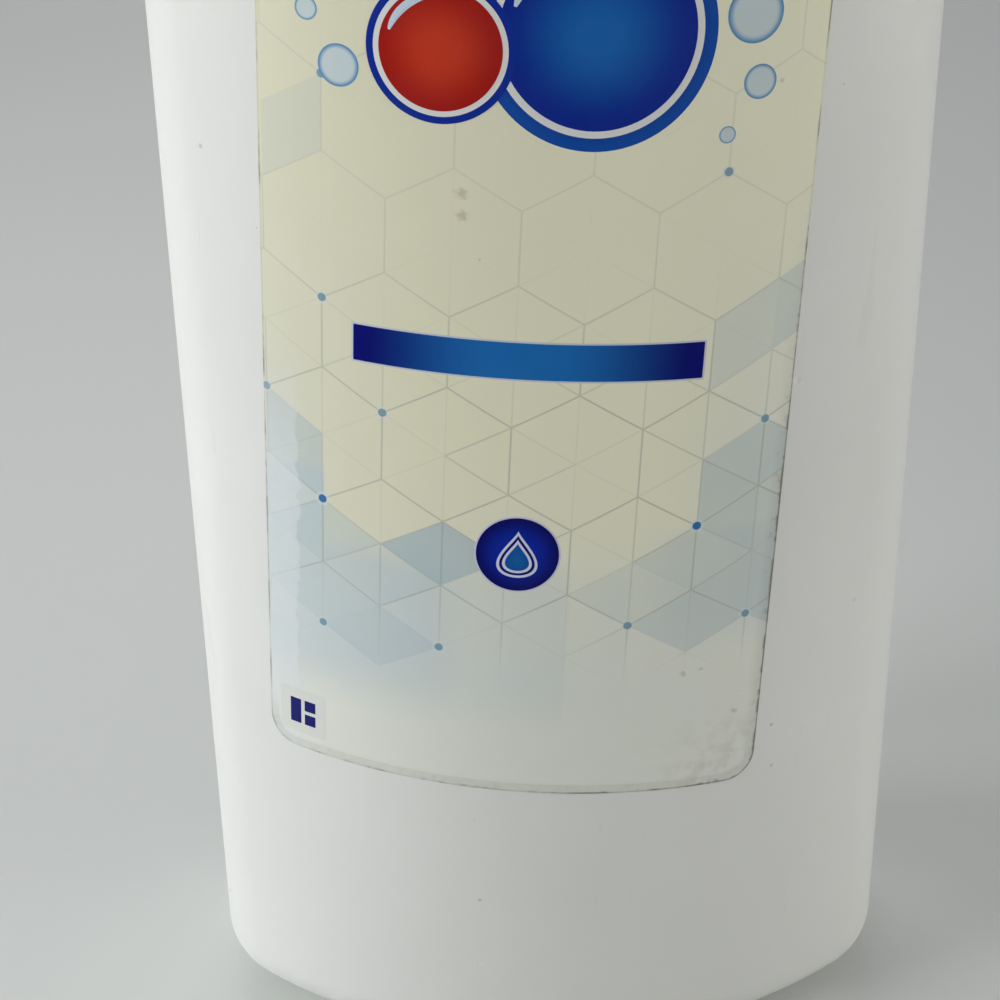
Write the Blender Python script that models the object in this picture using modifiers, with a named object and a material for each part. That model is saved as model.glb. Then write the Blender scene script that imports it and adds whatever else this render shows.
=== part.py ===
"""Hand soap pump bottle: an oblong blown bottle with two labels and a lotion pump.

The bottle stands on Z = 0 with its front towards -Y, and the pump's axis is the Z axis.
All sizes are in metres.
"""

import math

import bmesh
import bpy
from mathutils import Matrix, Vector

# Fits: gap between pieces that touch, and radial clearances of pieces that slide or turn
FIT = 0.0003
SLIDE = 0.0003
SPIN = 0.0005

# Bottle body, seen from above: curved faces, round corners and a short flat on each side
BODY_WIDTH = 0.1044
BODY_DEPTH = 0.0725
CORNER_RADIUS = 0.0160
SIDE_FLAT = 0.0150
BODY_WALL = 0.0012

# Bottle body, seen from the side
HEEL_RADIUS = 0.0090
FOOT_WIDTH = 0.0045
PUSH_UP = 0.0030
STRAIGHT_TOP = 0.1940
SHOULDER_RISE = 0.0240
SHOULDER_EARLY_UP = 0.52
SHOULDER_LATE_UP = 0.90
SHOULDER_LATE_IN = 0.50

# Bottle neck and its thread
NECK_HEIGHT = 0.0150
NECK_WALL = 0.0023
NECK_CLEARANCE = 0.0024
THREAD_PITCH = 0.0042
THREAD_TURNS = 1.0
THREAD_DEPTH = 0.0012
THREAD_ROOT_WIDTH = 0.0028
THREAD_CREST_WIDTH = 0.0010
THREAD_DROP = 0.0040
THREAD_SINK = 0.0006
THREAD_FADE = 0.0001
THREAD_RUN_OUT = math.radians(35.0)

# Labels
LABEL_FILM = 0.0002
LABEL_TOP_MARGIN = 0.0070
LABEL_CORNER = 0.0044
FRONT_LABEL_WIDTH = 0.0735
FRONT_LABEL_BOTTOM = 0.0510
FRONT_LABEL_SHIFT = -0.0069
FRONT_LABEL_TILT = math.radians(3.2)
BACK_LABEL_WIDTH = 0.0720
BACK_LABEL_BOTTOM = 0.0490

# Closure
CLOSURE_WALL = 0.0021
CLOSURE_TOP = 0.0018
CLOSURE_LIFT = 0.0015
CLOSURE_EDGE = 0.0010
THREAD_CLEARANCE = 0.0005
RIB_COUNT = 48
RIB_DEPTH = 0.0004

# Gasket and housing
GASKET_THICKNESS = 0.0010
GASKET_OVERLAP = 0.0012
FLANGE_THICKNESS = 0.0015
HOUSING_WALL = 0.0012
CYLINDER_BORE = 0.0074
COLLAR_SEAT_STEP = 0.0019
COLLAR_SEAT_DEPTH = 0.0100
COLLAR_SEAT_LEAD = 0.0020
SOCKET_WALL = 0.0014
FLOW_RADIUS = 0.0016
SEAT_RISE = 0.0020
BALL_RADIUS = 0.0024
BALL_LIFT = 0.0024
CHAMBER_CLEARANCE = 0.0008
NIB_COUNT = 3
NIB_REACH = 0.0012
NIB_ROOT = 0.0006
NIB_SIZE = 0.0010
VENT_RADIUS = 0.0008
VENT_DROP = 0.0075
SOCKET_DEPTH = 0.0118

# Dip tube
TUBE_RADIUS = 0.0035
TUBE_WALL = 0.0010
TUBE_FLOOR_GAP = 0.0030
TUBE_SLANT = math.radians(35.0)

# Lock collar
COLLAR_FLANGE = 0.0015
COLLAR_WALL = 0.0010
COLLAR_SKIRT = 0.0090
COLLAR_BOSS_RADIUS = 0.0088
COLLAR_BOSS_RISE = 0.0055
COLLAR_GUIDE_DROP = 0.0110

# Head, stem and stroke
STROKE = 0.0190
HEAD_CLEARANCE = 0.0006
SHANK_RADIUS = 0.0050
SHANK_ENGAGE = 0.0065
HEAD_RADIUS = 0.0118
HEAD_SIDE = 0.0085
HEAD_HEIGHT = 0.0150
HEAD_WALL = 0.0015
DOME_FLATNESS = 0.6
SPOUT_REACH = 0.0350
SPOUT_RADIUS = 0.0042
SPOUT_TIP_RADIUS = 0.0031
SPOUT_DROOP = 0.0062
SPOUT_TIP_LEAN = 0.6
SPOUT_BORE = 0.0016
SPOUT_DROP = 0.0058
STEM_RADIUS = 0.0036
STEM_BORE = 0.0020
STEM_SOCKET = 0.0085
STEM_FLANGE_RADIUS = 0.0046
STEM_FLANGE_HEIGHT = 0.0020
ROD_RADIUS = 0.0030

# Piston, its seat and the spring
PISTON_HEIGHT = 0.0090
PISTON_WALL = 0.0011
PISTON_LIP = 0.0006
PISTON_WEB = 0.0020
PISTON_TOP_GAP = 0.0015
PISTON_SLIP = 0.0012
SEAT_RADIUS = 0.0052
SEAT_CONE = 0.0020
SEAT_RIM = 0.0008
SEAT_PLUG_LENGTH = 0.0060
SEAT_FIN_WIDTH = 0.0010
SEAT_BOSS_RADIUS = 0.0031
SEAT_BOSS_LENGTH = 0.0032
PORT_WIDTH = 0.0016
PORT_HEIGHT = 0.0015
SPRING_WIRE_RADIUS = 0.00050
SPRING_RADIUS = 0.0046
SPRING_TURNS = 8
SPRING_STEPS = 12
SPRING_SOLID_MARGIN = 0.0010
SPRING_END_PITCH = 0.3

# Facets
FACE_STEPS = 7
CORNER_STEPS = 6
FLAT_STEPS = 1
SHOULDER_STEPS = 8
HEEL_STEPS = 4
ROUND = 32
BALL_FACETS = 16
SPOUT_STEPS = 10
DOME_STEPS = 5
THIN_ROUND = 24
LABEL_COLUMN = 0.0050

# Heights on the pump's axis, from the bottom up
NECK_BASE = STRAIGHT_TOP + SHOULDER_RISE
NECK_TOP = NECK_BASE + NECK_HEIGHT
GASKET_BOTTOM = NECK_TOP + FIT
FLANGE_BOTTOM = GASKET_BOTTOM + GASKET_THICKNESS + FIT
FLANGE_TOP = FLANGE_BOTTOM + FLANGE_THICKNESS
COLLAR_BOTTOM = FLANGE_TOP + FIT
COLLAR_FLANGE_TOP = COLLAR_BOTTOM + COLLAR_FLANGE
CEILING = COLLAR_FLANGE_TOP + FIT
CLOSURE_TOP_FACE = CEILING + CLOSURE_TOP
COLLAR_TOP = CLOSURE_TOP_FACE + COLLAR_BOSS_RISE
HEAD_BOTTOM = COLLAR_TOP + STROKE + HEAD_CLEARANCE
HEAD_TOP = HEAD_BOTTOM + HEAD_HEIGHT
SHANK_BOTTOM = COLLAR_TOP - SHANK_ENGAGE
GUIDE_BOTTOM = COLLAR_BOTTOM - COLLAR_GUIDE_DROP
PISTON_TOP = GUIDE_BOTTOM - PISTON_TOP_GAP
PISTON_BOTTOM = PISTON_TOP - PISTON_HEIGHT
STEM_FLANGE_BOTTOM = PISTON_TOP + PISTON_SLIP + FIT
SEAT_TOP = PISTON_BOTTOM - FIT
SEAT_BOTTOM = SEAT_TOP - SEAT_CONE - SEAT_RIM
SPRING_TOP = SEAT_BOTTOM - FIT
SPRING_SOLID = 2.0 * SPRING_WIRE_RADIUS * (SPRING_TURNS + 1)
SPRING_BOTTOM = SPRING_TOP - STROKE - SPRING_SOLID - SPRING_SOLID_MARGIN
LEDGE = SPRING_BOTTOM - FIT
CHAMBER_RADIUS = BALL_RADIUS + CHAMBER_CLEARANCE

# Radii that follow from the fits, from the pump's cylinder outwards
HOUSING_RADIUS = CYLINDER_BORE + HOUSING_WALL
COLLAR_SEAT_BORE = CYLINDER_BORE + COLLAR_SEAT_STEP
COLLAR_SEAT_RADIUS = COLLAR_SEAT_BORE + HOUSING_WALL
NECK_BORE = COLLAR_SEAT_RADIUS + NECK_CLEARANCE
NECK_RADIUS = NECK_BORE + NECK_WALL
CLOSURE_BORE = NECK_RADIUS + THREAD_DEPTH + THREAD_CLEARANCE
CLOSURE_RADIUS = CLOSURE_BORE + CLOSURE_WALL
FLANGE_RADIUS = CLOSURE_BORE - THREAD_CLEARANCE - FIT
GUIDE_BORE = SHANK_RADIUS + SLIDE
PISTON_BORE = ROD_RADIUS + SLIDE
PISTON_RADIUS = CYLINDER_BORE - SLIDE
SOCKET_BORE = TUBE_RADIUS + FIT
LOWER_RADIUS = SOCKET_BORE + SOCKET_WALL
INNER_FLOOR = PUSH_UP + BODY_WALL

PARTS_NAME = "hand_soap_pump_bottle"
CUTTERS_NAME = "cutters"


def clear_scene():
    """Remove whatever the scene holds."""
    for item in list(bpy.data.objects):
        bpy.data.objects.remove(item, do_unlink=True)


def make_collection(name):
    """Return a new collection in the scene."""
    collection = bpy.data.collections.new(name)
    bpy.context.scene.collection.children.link(collection)
    return collection


def make_material(name, colour, roughness, metallic=0.0):
    """Return a plain Principled material."""
    material = bpy.data.materials.new(name)
    material.use_nodes = True
    shader = material.node_tree.nodes["Principled BSDF"]
    shader.inputs["Base Color"].default_value = (*colour, 1.0)
    shader.inputs["Roughness"].default_value = roughness
    shader.inputs["Metallic"].default_value = metallic
    return material


def link_mesh(name, mesh, collection):
    """Put a mesh into the scene as an object and smooth its round faces."""
    mesh.shade_smooth()
    mesh.set_sharp_from_angle(angle=math.radians(35.0))
    item = bpy.data.objects.new(name, mesh)
    collection.objects.link(item)
    return item


def from_bmesh(name, shape, collection):
    """Turn a bmesh into an object with its faces pointing outwards."""
    bmesh.ops.recalc_face_normals(shape, faces=shape.faces)
    mesh = bpy.data.meshes.new(name)
    shape.to_mesh(mesh)
    shape.free()
    return link_mesh(name, mesh, collection)


def turned(name, profile, collection, steps=ROUND, closed=True):
    """Turn a profile of (radius, height) points about Z.

    The points run down the outer side. A profile that isn't closed ends on the axis.
    """
    mesh = bpy.data.meshes.new(name)
    count = len(profile)
    edges = [(i, i + 1) for i in range(count - 1)]
    if closed:
        edges.append((count - 1, 0))
    mesh.from_pydata([(radius, 0.0, height) for radius, height in profile], edges, [])
    item = bpy.data.objects.new(name, mesh)
    collection.objects.link(item)
    screw = item.modifiers.new("Turn", "SCREW")
    screw.axis = "Z"
    screw.angle = 2.0 * math.pi
    screw.steps = steps
    screw.render_steps = steps
    screw.use_merge_vertices = True
    screw.merge_threshold = 0.00001
    return settle(item, collection)


def settle(item, collection):
    """Replace an object by the plain mesh that its modifiers or its curve give."""
    name = item.name
    evaluated = item.evaluated_get(bpy.context.evaluated_depsgraph_get())
    mesh = bpy.data.meshes.new_from_object(evaluated)
    mesh.transform(item.matrix_world)
    bpy.data.objects.remove(item, do_unlink=True)
    shape = bmesh.new()
    shape.from_mesh(mesh)
    bpy.data.meshes.remove(mesh)
    bmesh.ops.remove_doubles(shape, verts=shape.verts, dist=0.000001)
    return from_bmesh(name, shape, collection)


def box(name, size, centre, collection):
    """Return a box of the given size."""
    shape = bmesh.new()
    bmesh.ops.create_cube(shape, size=1.0)
    bmesh.ops.scale(shape, verts=shape.verts, vec=size)
    bmesh.ops.translate(shape, verts=shape.verts, vec=centre)
    return from_bmesh(name, shape, collection)


def rod(name, radius, start, end, collection, facets=16):
    """Return a cylinder from one point to another."""
    start, end = Vector(start), Vector(end)
    turn = (end - start).to_track_quat("Z", "Y").to_matrix().to_4x4()
    shape = bmesh.new()
    bmesh.ops.create_cone(
        shape, cap_ends=True, segments=facets, radius1=radius, radius2=radius,
        depth=(end - start).length, matrix=Matrix.Translation((start + end) / 2.0) @ turn)
    return from_bmesh(name, shape, collection)


def combine(item, tool, operation):
    """Join a tool to an object or cut it out of the object."""
    tool.hide_render = True
    tool.display_type = "WIRE"
    modifier = item.modifiers.new(tool.name, "BOOLEAN")
    modifier.operation = operation
    modifier.solver = "EXACT"
    modifier.object = tool


def paint(item, material):
    """Give an object its material."""
    item.data.materials.clear()
    item.data.materials.append(material)


def face_radius(inset=0.0):
    """Radius of the front face that meets both corner arcs without a kink."""
    across = BODY_WIDTH / 2.0 - CORNER_RADIUS
    back = (BODY_DEPTH - SIDE_FLAT) / 2.0
    radius = (across ** 2 + back ** 2 - CORNER_RADIUS ** 2) / (2.0 * (back - CORNER_RADIUS))
    return radius - inset


def face_angle():
    """Angle at which the front face meets the corner arc."""
    across = BODY_WIDTH / 2.0 - CORNER_RADIUS
    return math.asin(across / (face_radius() - CORNER_RADIUS))


def quarter_outline(inset):
    """Points of the body's section from the front's middle to the middle of the +X side."""
    radius = face_radius(inset)
    corner = CORNER_RADIUS - inset
    across = BODY_WIDTH / 2.0 - CORNER_RADIUS
    centre_y = face_radius() - BODY_DEPTH / 2.0
    split = face_angle()
    points = []
    for step in range(FACE_STEPS):
        angle = split * step / FACE_STEPS
        points.append((radius * math.sin(angle), centre_y - radius * math.cos(angle)))
    for step in range(CORNER_STEPS + 1):
        angle = split + (math.pi / 2.0 - split) * step / CORNER_STEPS
        points.append((across + corner * math.sin(angle), -SIDE_FLAT / 2.0 - corner * math.cos(angle)))
    for step in range(FLAT_STEPS):
        share = (step + 1) / FLAT_STEPS
        points.append((across + corner, -SIDE_FLAT / 2.0 * (1.0 - share)))
    return points


def quarter_circle(radius):
    """Points of a round section that pair with those of the body's section."""
    count = FACE_STEPS + CORNER_STEPS + FLAT_STEPS
    angles = [math.pi / 2.0 * step / count for step in range(count + 1)]
    return [(radius * math.sin(angle), -radius * math.cos(angle)) for angle in angles]


def full_ring(quarter):
    """Mirror a quarter of a section into the whole ring."""
    right = quarter + [(x, -y) for x, y in reversed(quarter[:-1])]
    return right + [(-x, y) for x, y in reversed(right[1:-1])]


def mix_outlines(first, second, share):
    """Blend two quarter outlines point by point."""
    return [(a[0] + (b[0] - a[0]) * share, a[1] + (b[1] - a[1]) * share) for a, b in zip(first, second)]


def shoulder_share(step):
    """Inward and upward share of the shoulder at one of its steps, on a cubic curve.

    The three shoulder shares above place the curve's two inner control points.
    """
    t = step / SHOULDER_STEPS
    early = 3.0 * (1.0 - t) ** 2 * t
    late = 3.0 * (1.0 - t) * t ** 2
    inward = late * SHOULDER_LATE_IN + t ** 3
    upward = early * SHOULDER_EARLY_UP + late * SHOULDER_LATE_UP + t ** 3
    return inward, upward


def bottle_side(inset, neck_radius, top):
    """Rings of one side of the shell, from the foot's inner edge up to the neck's rim.

    Each ring is a pair of a quarter outline and a height.
    """
    heel = HEEL_RADIUS - inset
    body = quarter_outline(inset)
    neck = quarter_circle(neck_radius)
    rings = []
    for step in range(HEEL_STEPS + 1):
        angle = math.pi / 2.0 * step / HEEL_STEPS
        outline = quarter_outline(inset + heel * (1.0 - math.sin(angle)))
        rings.append((outline, inset + heel * (1.0 - math.cos(angle))))
    for step in range(SHOULDER_STEPS + 1):
        inward, upward = shoulder_share(step)
        rise = (SHOULDER_RISE - inset) * upward
        rings.append((mix_outlines(body, neck, inward), STRAIGHT_TOP + rise))
    rings.append((neck, top))
    return rings


def foot_rings(inset):
    """Rings under the heel: the inner edge of the foot and the edge of the push-up."""
    heel_edge = quarter_outline(HEEL_RADIUS)
    land = 1.0 - 2.0 * FOOT_WIDTH / BODY_DEPTH
    slope = land - 2.0 * PUSH_UP / BODY_DEPTH
    inner = [(x * land, y * land) for x, y in heel_edge]
    raised = [(x * slope, y * slope) for x, y in heel_edge]
    return [(raised, PUSH_UP + inset), (inner, inset)]


def loft(shape, rings):
    """Join a list of rings by quads and return the vertices of each ring."""
    rows = []
    for outline, height in rings:
        rows.append([shape.verts.new((x, y, height)) for x, y in full_ring(outline)])
    for lower, upper in zip(rows, rows[1:]):
        for i in range(len(lower)):
            j = (i + 1) % len(lower)
            shape.faces.new((lower[i], lower[j], upper[j], upper[i]))
    return rows


def close_middle(shape, row):
    """Close a ring with triangles to a point in its middle."""
    centre = shape.verts.new((0.0, 0.0, row[0].co.z))
    for i in range(len(row)):
        shape.faces.new((row[i - 1], row[i], centre))


def neck_thread(collection):
    """Raised thread on the neck, with a run-out at both ends."""
    shape = bmesh.new()
    root = NECK_RADIUS - THREAD_SINK
    steps = int(THREAD_TURNS * ROUND)
    rows = []
    for step in range(steps + 1):
        angle = 2.0 * math.pi * THREAD_TURNS * step / steps
        left = 2.0 * math.pi * THREAD_TURNS - angle
        share = min(1.0, angle / THREAD_RUN_OUT, left / THREAD_RUN_OUT)
        swell = (THREAD_DEPTH + THREAD_SINK - THREAD_FADE) * math.sin(share * math.pi / 2.0)
        crest = root + THREAD_FADE + swell
        middle = NECK_TOP - THREAD_DROP - THREAD_PITCH * angle / (2.0 * math.pi)
        profile = (
            (root, middle + THREAD_ROOT_WIDTH / 2.0), (crest, middle + THREAD_CREST_WIDTH / 2.0),
            (crest, middle - THREAD_CREST_WIDTH / 2.0), (root, middle - THREAD_ROOT_WIDTH / 2.0))
        direction = (math.cos(-angle), math.sin(-angle))
        rows.append([shape.verts.new((r * direction[0], r * direction[1], z)) for r, z in profile])
    for first, second in zip(rows, rows[1:]):
        for i in range(len(first)):
            j = (i + 1) % len(first)
            shape.faces.new((first[i], first[j], second[j], second[i]))
    shape.faces.new(rows[0])
    shape.faces.new(rows[-1])
    return from_bmesh("neck_thread_tool", shape, collection)


def make_bottle(parts, cutters):
    """Blown shell with push-up, heel, shoulder and threaded neck, open at the top."""
    shape = bmesh.new()
    outer = foot_rings(0.0) + bottle_side(0.0, NECK_RADIUS, NECK_TOP)
    inner = foot_rings(BODY_WALL) + bottle_side(BODY_WALL, NECK_BORE, NECK_TOP)
    outer_rows = loft(shape, outer)
    inner_rows = loft(shape, inner)
    rim_out, rim_in = outer_rows[-1], inner_rows[-1]
    for i in range(len(rim_out)):
        j = (i + 1) % len(rim_out)
        shape.faces.new((rim_out[i], rim_out[j], rim_in[j], rim_in[i]))
    close_middle(shape, outer_rows[0])
    close_middle(shape, inner_rows[0])
    bottle = from_bmesh("bottle", shape, parts)
    combine(bottle, neck_thread(cutters), "UNION")
    paint(bottle, make_material("bottle_white", (0.86, 0.87, 0.86), 0.38))


def wall_point(along, offset):
    """Point at a developed distance from the front's middle, raised off the wall by offset."""
    side = math.copysign(1.0, along)
    run = abs(along)
    across = BODY_WIDTH / 2.0 - CORNER_RADIUS
    face_run = face_radius() * face_angle()
    corner_turn = math.pi / 2.0 - face_angle()
    if run <= face_run:
        angle = run / face_radius()
        reach = face_radius() + offset
        return side * reach * math.sin(angle), face_radius() - BODY_DEPTH / 2.0 - reach * math.cos(angle)
    angle = face_angle() + min((run - face_run) / CORNER_RADIUS, corner_turn)
    reach = CORNER_RADIUS + offset
    return side * (across + reach * math.sin(angle)), -SIDE_FLAT / 2.0 - reach * math.cos(angle)


def rounded_outline(width, height, radius, steps=4):
    """Outline of a rectangle with round corners that stands on the middle of its lower edge."""
    points = []
    corners = ((1.0, 0.0, -90.0), (1.0, 1.0, 0.0), (-1.0, 1.0, 90.0), (-1.0, 0.0, 180.0))
    for side, upper, start in corners:
        centre = (side * (width / 2.0 - radius), radius + upper * (height - 2.0 * radius))
        for step in range(steps + 1):
            angle = math.radians(start + 90.0 * step / steps)
            points.append((centre[0] + radius * math.cos(angle), centre[1] + radius * math.sin(angle)))
    return points


def make_label(name, width, bottom, shift, tilt, facing, parts):
    """Film wrapped on the front (facing 1) or the back (facing -1) of the wall."""
    height = STRAIGHT_TOP - LABEL_TOP_MARGIN - bottom
    shape = bmesh.new()
    corners = [shape.verts.new((x, 0.0, z)) for x, z in rounded_outline(width, height, LABEL_CORNER)]
    shape.faces.new(corners)
    bmesh.ops.rotate(shape, verts=shape.verts, matrix=Matrix.Rotation(tilt, 3, "Y"))
    bmesh.ops.translate(shape, verts=shape.verts, vec=(shift, 0.0, bottom))
    reach = width / 2.0 + abs(shift) + height * abs(math.sin(tilt))
    columns = math.ceil(reach / LABEL_COLUMN)
    for column in range(-columns, columns + 1):
        bmesh.ops.bisect_plane(
            shape, geom=shape.verts[:] + shape.edges[:] + shape.faces[:],
            plane_co=(column * LABEL_COLUMN, 0.0, 0.0), plane_no=(1.0, 0.0, 0.0))
    outer = bmesh.ops.duplicate(shape, geom=shape.verts[:] + shape.edges[:] + shape.faces[:])
    raised = {item for item in outer["geom"] if isinstance(item, bmesh.types.BMVert)}
    rims = [edge for edge in shape.edges if edge.is_boundary]
    for vertex in shape.verts:
        offset = FIT + (LABEL_FILM if vertex in raised else 0.0)
        x, y = wall_point(vertex.co.x, offset)
        vertex.co.x, vertex.co.y = x * facing, y * facing
    bmesh.ops.bridge_loops(shape, edges=rims)
    return from_bmesh(name, shape, parts)


def make_labels(parts):
    """Front and back labels."""
    front = make_label(
        "front_label", FRONT_LABEL_WIDTH, FRONT_LABEL_BOTTOM, FRONT_LABEL_SHIFT, FRONT_LABEL_TILT,
        1.0, parts)
    paint(front, make_material("label_cream", (0.80, 0.79, 0.68), 0.35))
    back = make_label("back_label", BACK_LABEL_WIDTH, BACK_LABEL_BOTTOM, 0.0, 0.0, -1.0, parts)
    paint(back, make_material("label_back", (0.80, 0.80, 0.74), 0.35))


def make_closure(parts):
    """Screw cap with a hole in its top and vertical ribs on its skirt."""
    hole = COLLAR_BOSS_RADIUS + SPIN
    bottom = NECK_BASE + CLOSURE_LIFT
    shoulder = CLOSURE_TOP_FACE - CLOSURE_EDGE
    rib_top = shoulder - CLOSURE_EDGE
    profile = (
        (hole, CLOSURE_TOP_FACE), (CLOSURE_RADIUS - CLOSURE_EDGE, CLOSURE_TOP_FACE),
        (CLOSURE_RADIUS, shoulder), (CLOSURE_RADIUS, rib_top), (CLOSURE_RADIUS, bottom + CLOSURE_EDGE),
        (CLOSURE_RADIUS, bottom), (CLOSURE_BORE, bottom), (CLOSURE_BORE, CEILING), (hole, CEILING))
    closure = turned("closure", profile, parts, steps=2 * RIB_COUNT)
    for vertex in closure.data.vertices:
        radius = math.hypot(vertex.co.x, vertex.co.y)
        place = round(math.atan2(vertex.co.y, vertex.co.x) / math.pi * RIB_COUNT)
        on_rib = bottom + FIT < vertex.co.z < rib_top + FIT and radius > CLOSURE_BORE + FIT
        if on_rib and place % 2:
            vertex.co.x *= (radius - RIB_DEPTH) / radius
            vertex.co.y *= (radius - RIB_DEPTH) / radius
    paint(closure, make_material("closure_white", (0.84, 0.85, 0.85), 0.32))


def make_gasket(parts):
    """Flat washer on the neck's rim."""
    top = GASKET_BOTTOM + GASKET_THICKNESS
    inner = NECK_BORE - FIT
    outer = NECK_RADIUS + GASKET_OVERLAP - FIT
    profile = ((inner, top), (outer, top), (outer, GASKET_BOTTOM), (inner, GASKET_BOTTOM))
    paint(turned("neck_gasket", profile, parts), make_material("gasket_grey", (0.62, 0.64, 0.64), 0.60))


def seat_half_angle():
    """Angle of the ball seat's cone from the axis."""
    return math.atan2(CHAMBER_RADIUS - FLOW_RADIUS, SEAT_RISE)


def ball_above_seat():
    """Height of the resting ball's centre over the seat's lower edge."""
    slope = seat_half_angle()
    return ((BALL_RADIUS + FIT) / math.cos(slope) - FLOW_RADIUS) / math.tan(slope)


def seat_base():
    """Height of the lower edge of the ball seat, far enough down for the ball to lift."""
    ball_top = ball_above_seat() + BALL_RADIUS + BALL_LIFT
    return LEDGE - NIB_SIZE - 2.0 * FIT - ball_top


def socket_top():
    """Height of the dip tube socket's ceiling."""
    return seat_base() - HOUSING_WALL


def make_housing(parts, cutters):
    """Pump cylinder with its flange, ledge, ball chamber and dip tube socket."""
    collar_seat = FLANGE_TOP - COLLAR_SEAT_DEPTH
    bore_top = collar_seat - COLLAR_SEAT_LEAD
    neck_in = HOUSING_RADIUS - LOWER_RADIUS
    profile = (
        (COLLAR_SEAT_BORE, FLANGE_TOP), (FLANGE_RADIUS, FLANGE_TOP), (FLANGE_RADIUS, FLANGE_BOTTOM),
        (COLLAR_SEAT_RADIUS, FLANGE_BOTTOM), (COLLAR_SEAT_RADIUS, collar_seat - HOUSING_WALL),
        (HOUSING_RADIUS, bore_top - HOUSING_WALL), (HOUSING_RADIUS, LEDGE),
        (LOWER_RADIUS, LEDGE - neck_in), (LOWER_RADIUS, socket_top() - SOCKET_DEPTH),
        (SOCKET_BORE, socket_top() - SOCKET_DEPTH), (SOCKET_BORE, socket_top()),
        (FLOW_RADIUS, socket_top()), (FLOW_RADIUS, seat_base()), (CHAMBER_RADIUS, seat_base() + SEAT_RISE),
        (CHAMBER_RADIUS, LEDGE), (CYLINDER_BORE, LEDGE), (CYLINDER_BORE, bore_top),
        (COLLAR_SEAT_BORE, collar_seat))
    housing = turned("pump_housing", profile, parts)
    for index in range(NIB_COUNT):
        angle = 2.0 * math.pi * index / NIB_COUNT
        reach = NIB_REACH + NIB_ROOT
        centre = (CHAMBER_RADIUS + NIB_ROOT - reach / 2.0, 0.0, LEDGE - FIT - NIB_SIZE / 2.0)
        nib = box(f"ball_nib_{index + 1}", (reach, NIB_SIZE, NIB_SIZE), centre, cutters)
        nib.data.transform(Matrix.Rotation(angle, 4, "Z"))
        combine(housing, nib, "UNION")
    vent_height = FLANGE_BOTTOM - VENT_DROP
    vent = rod("vent_cutter", VENT_RADIUS, (COLLAR_SEAT_BORE - HOUSING_WALL, 0.0, vent_height),
               (COLLAR_SEAT_RADIUS + HOUSING_WALL, 0.0, vent_height), cutters, facets=10)
    combine(housing, vent, "DIFFERENCE")
    paint(housing, make_material("housing_natural", (0.82, 0.84, 0.84), 0.40))


def make_lock_collar(parts):
    """Collar on the housing: flange, clip skirt, raised boss and inner guide tube."""
    skirt = COLLAR_SEAT_BORE - FIT
    guide = GUIDE_BORE + COLLAR_WALL
    ceiling = COLLAR_TOP - COLLAR_WALL
    skirt_in = skirt - COLLAR_WALL
    profile = (
        (GUIDE_BORE, COLLAR_TOP), (COLLAR_BOSS_RADIUS, COLLAR_TOP), (COLLAR_BOSS_RADIUS, COLLAR_FLANGE_TOP),
        (FLANGE_RADIUS, COLLAR_FLANGE_TOP), (FLANGE_RADIUS, COLLAR_BOTTOM), (skirt, COLLAR_BOTTOM),
        (skirt, COLLAR_BOTTOM - COLLAR_SKIRT), (skirt_in, COLLAR_BOTTOM - COLLAR_SKIRT),
        (skirt_in, COLLAR_BOTTOM), (COLLAR_BOSS_RADIUS - COLLAR_WALL, COLLAR_FLANGE_TOP),
        (COLLAR_BOSS_RADIUS - COLLAR_WALL, ceiling), (guide, ceiling), (guide, GUIDE_BOTTOM),
        (GUIDE_BORE, GUIDE_BOTTOM))
    paint(turned("lock_collar", profile, parts), make_material("collar_white", (0.84, 0.85, 0.85), 0.34))


def make_dip_tube(parts, cutters):
    """Straight tube from the housing's socket to just above the bottle's floor."""
    top = socket_top() - FIT
    bottom = INNER_FLOOR + TUBE_FLOOR_GAP
    bore = TUBE_RADIUS - TUBE_WALL
    profile = ((bore, top), (TUBE_RADIUS, top), (TUBE_RADIUS, bottom), (bore, bottom))
    tube = turned("dip_tube", profile, parts, steps=THIN_ROUND)
    size = 8.0 * TUBE_RADIUS
    cutter = box("tube_end_cutter", (size, size, size), (0.0, 0.0, -size / 2.0), cutters)
    slant = Matrix.Rotation(TUBE_SLANT, 4, "Y")
    middle = bottom + TUBE_RADIUS * math.tan(TUBE_SLANT)
    cutter.data.transform(Matrix.Translation((0.0, 0.0, middle)) @ slant)
    combine(tube, cutter, "DIFFERENCE")
    paint(tube, make_material("tube_natural", (0.80, 0.83, 0.83), 0.35))


def spout_bar(name, radii, start, end, collection):
    """Round bar along the spout's line, between two distances from the head's axis."""
    height = HEAD_TOP - SPOUT_DROP
    curve = bpy.data.curves.new(name, "CURVE")
    curve.dimensions = "3D"
    curve.bevel_depth = 1.0
    curve.bevel_resolution = 3
    curve.use_fill_caps = True
    spline = curve.splines.new("POLY")
    spline.points.add(SPOUT_STEPS)
    for step in range(SPOUT_STEPS + 1):
        share = step / SPOUT_STEPS
        reach = start + (end - start) * share
        drop = SPOUT_DROOP * (reach / SPOUT_REACH) ** 4
        spline.points[step].co = (0.0, -reach, height - drop, 1.0)
        spline.points[step].radius = radii[0] + (radii[1] - radii[0]) * share
    item = bpy.data.objects.new(name, curve)
    collection.objects.link(item)
    return settle(item, collection)


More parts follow.
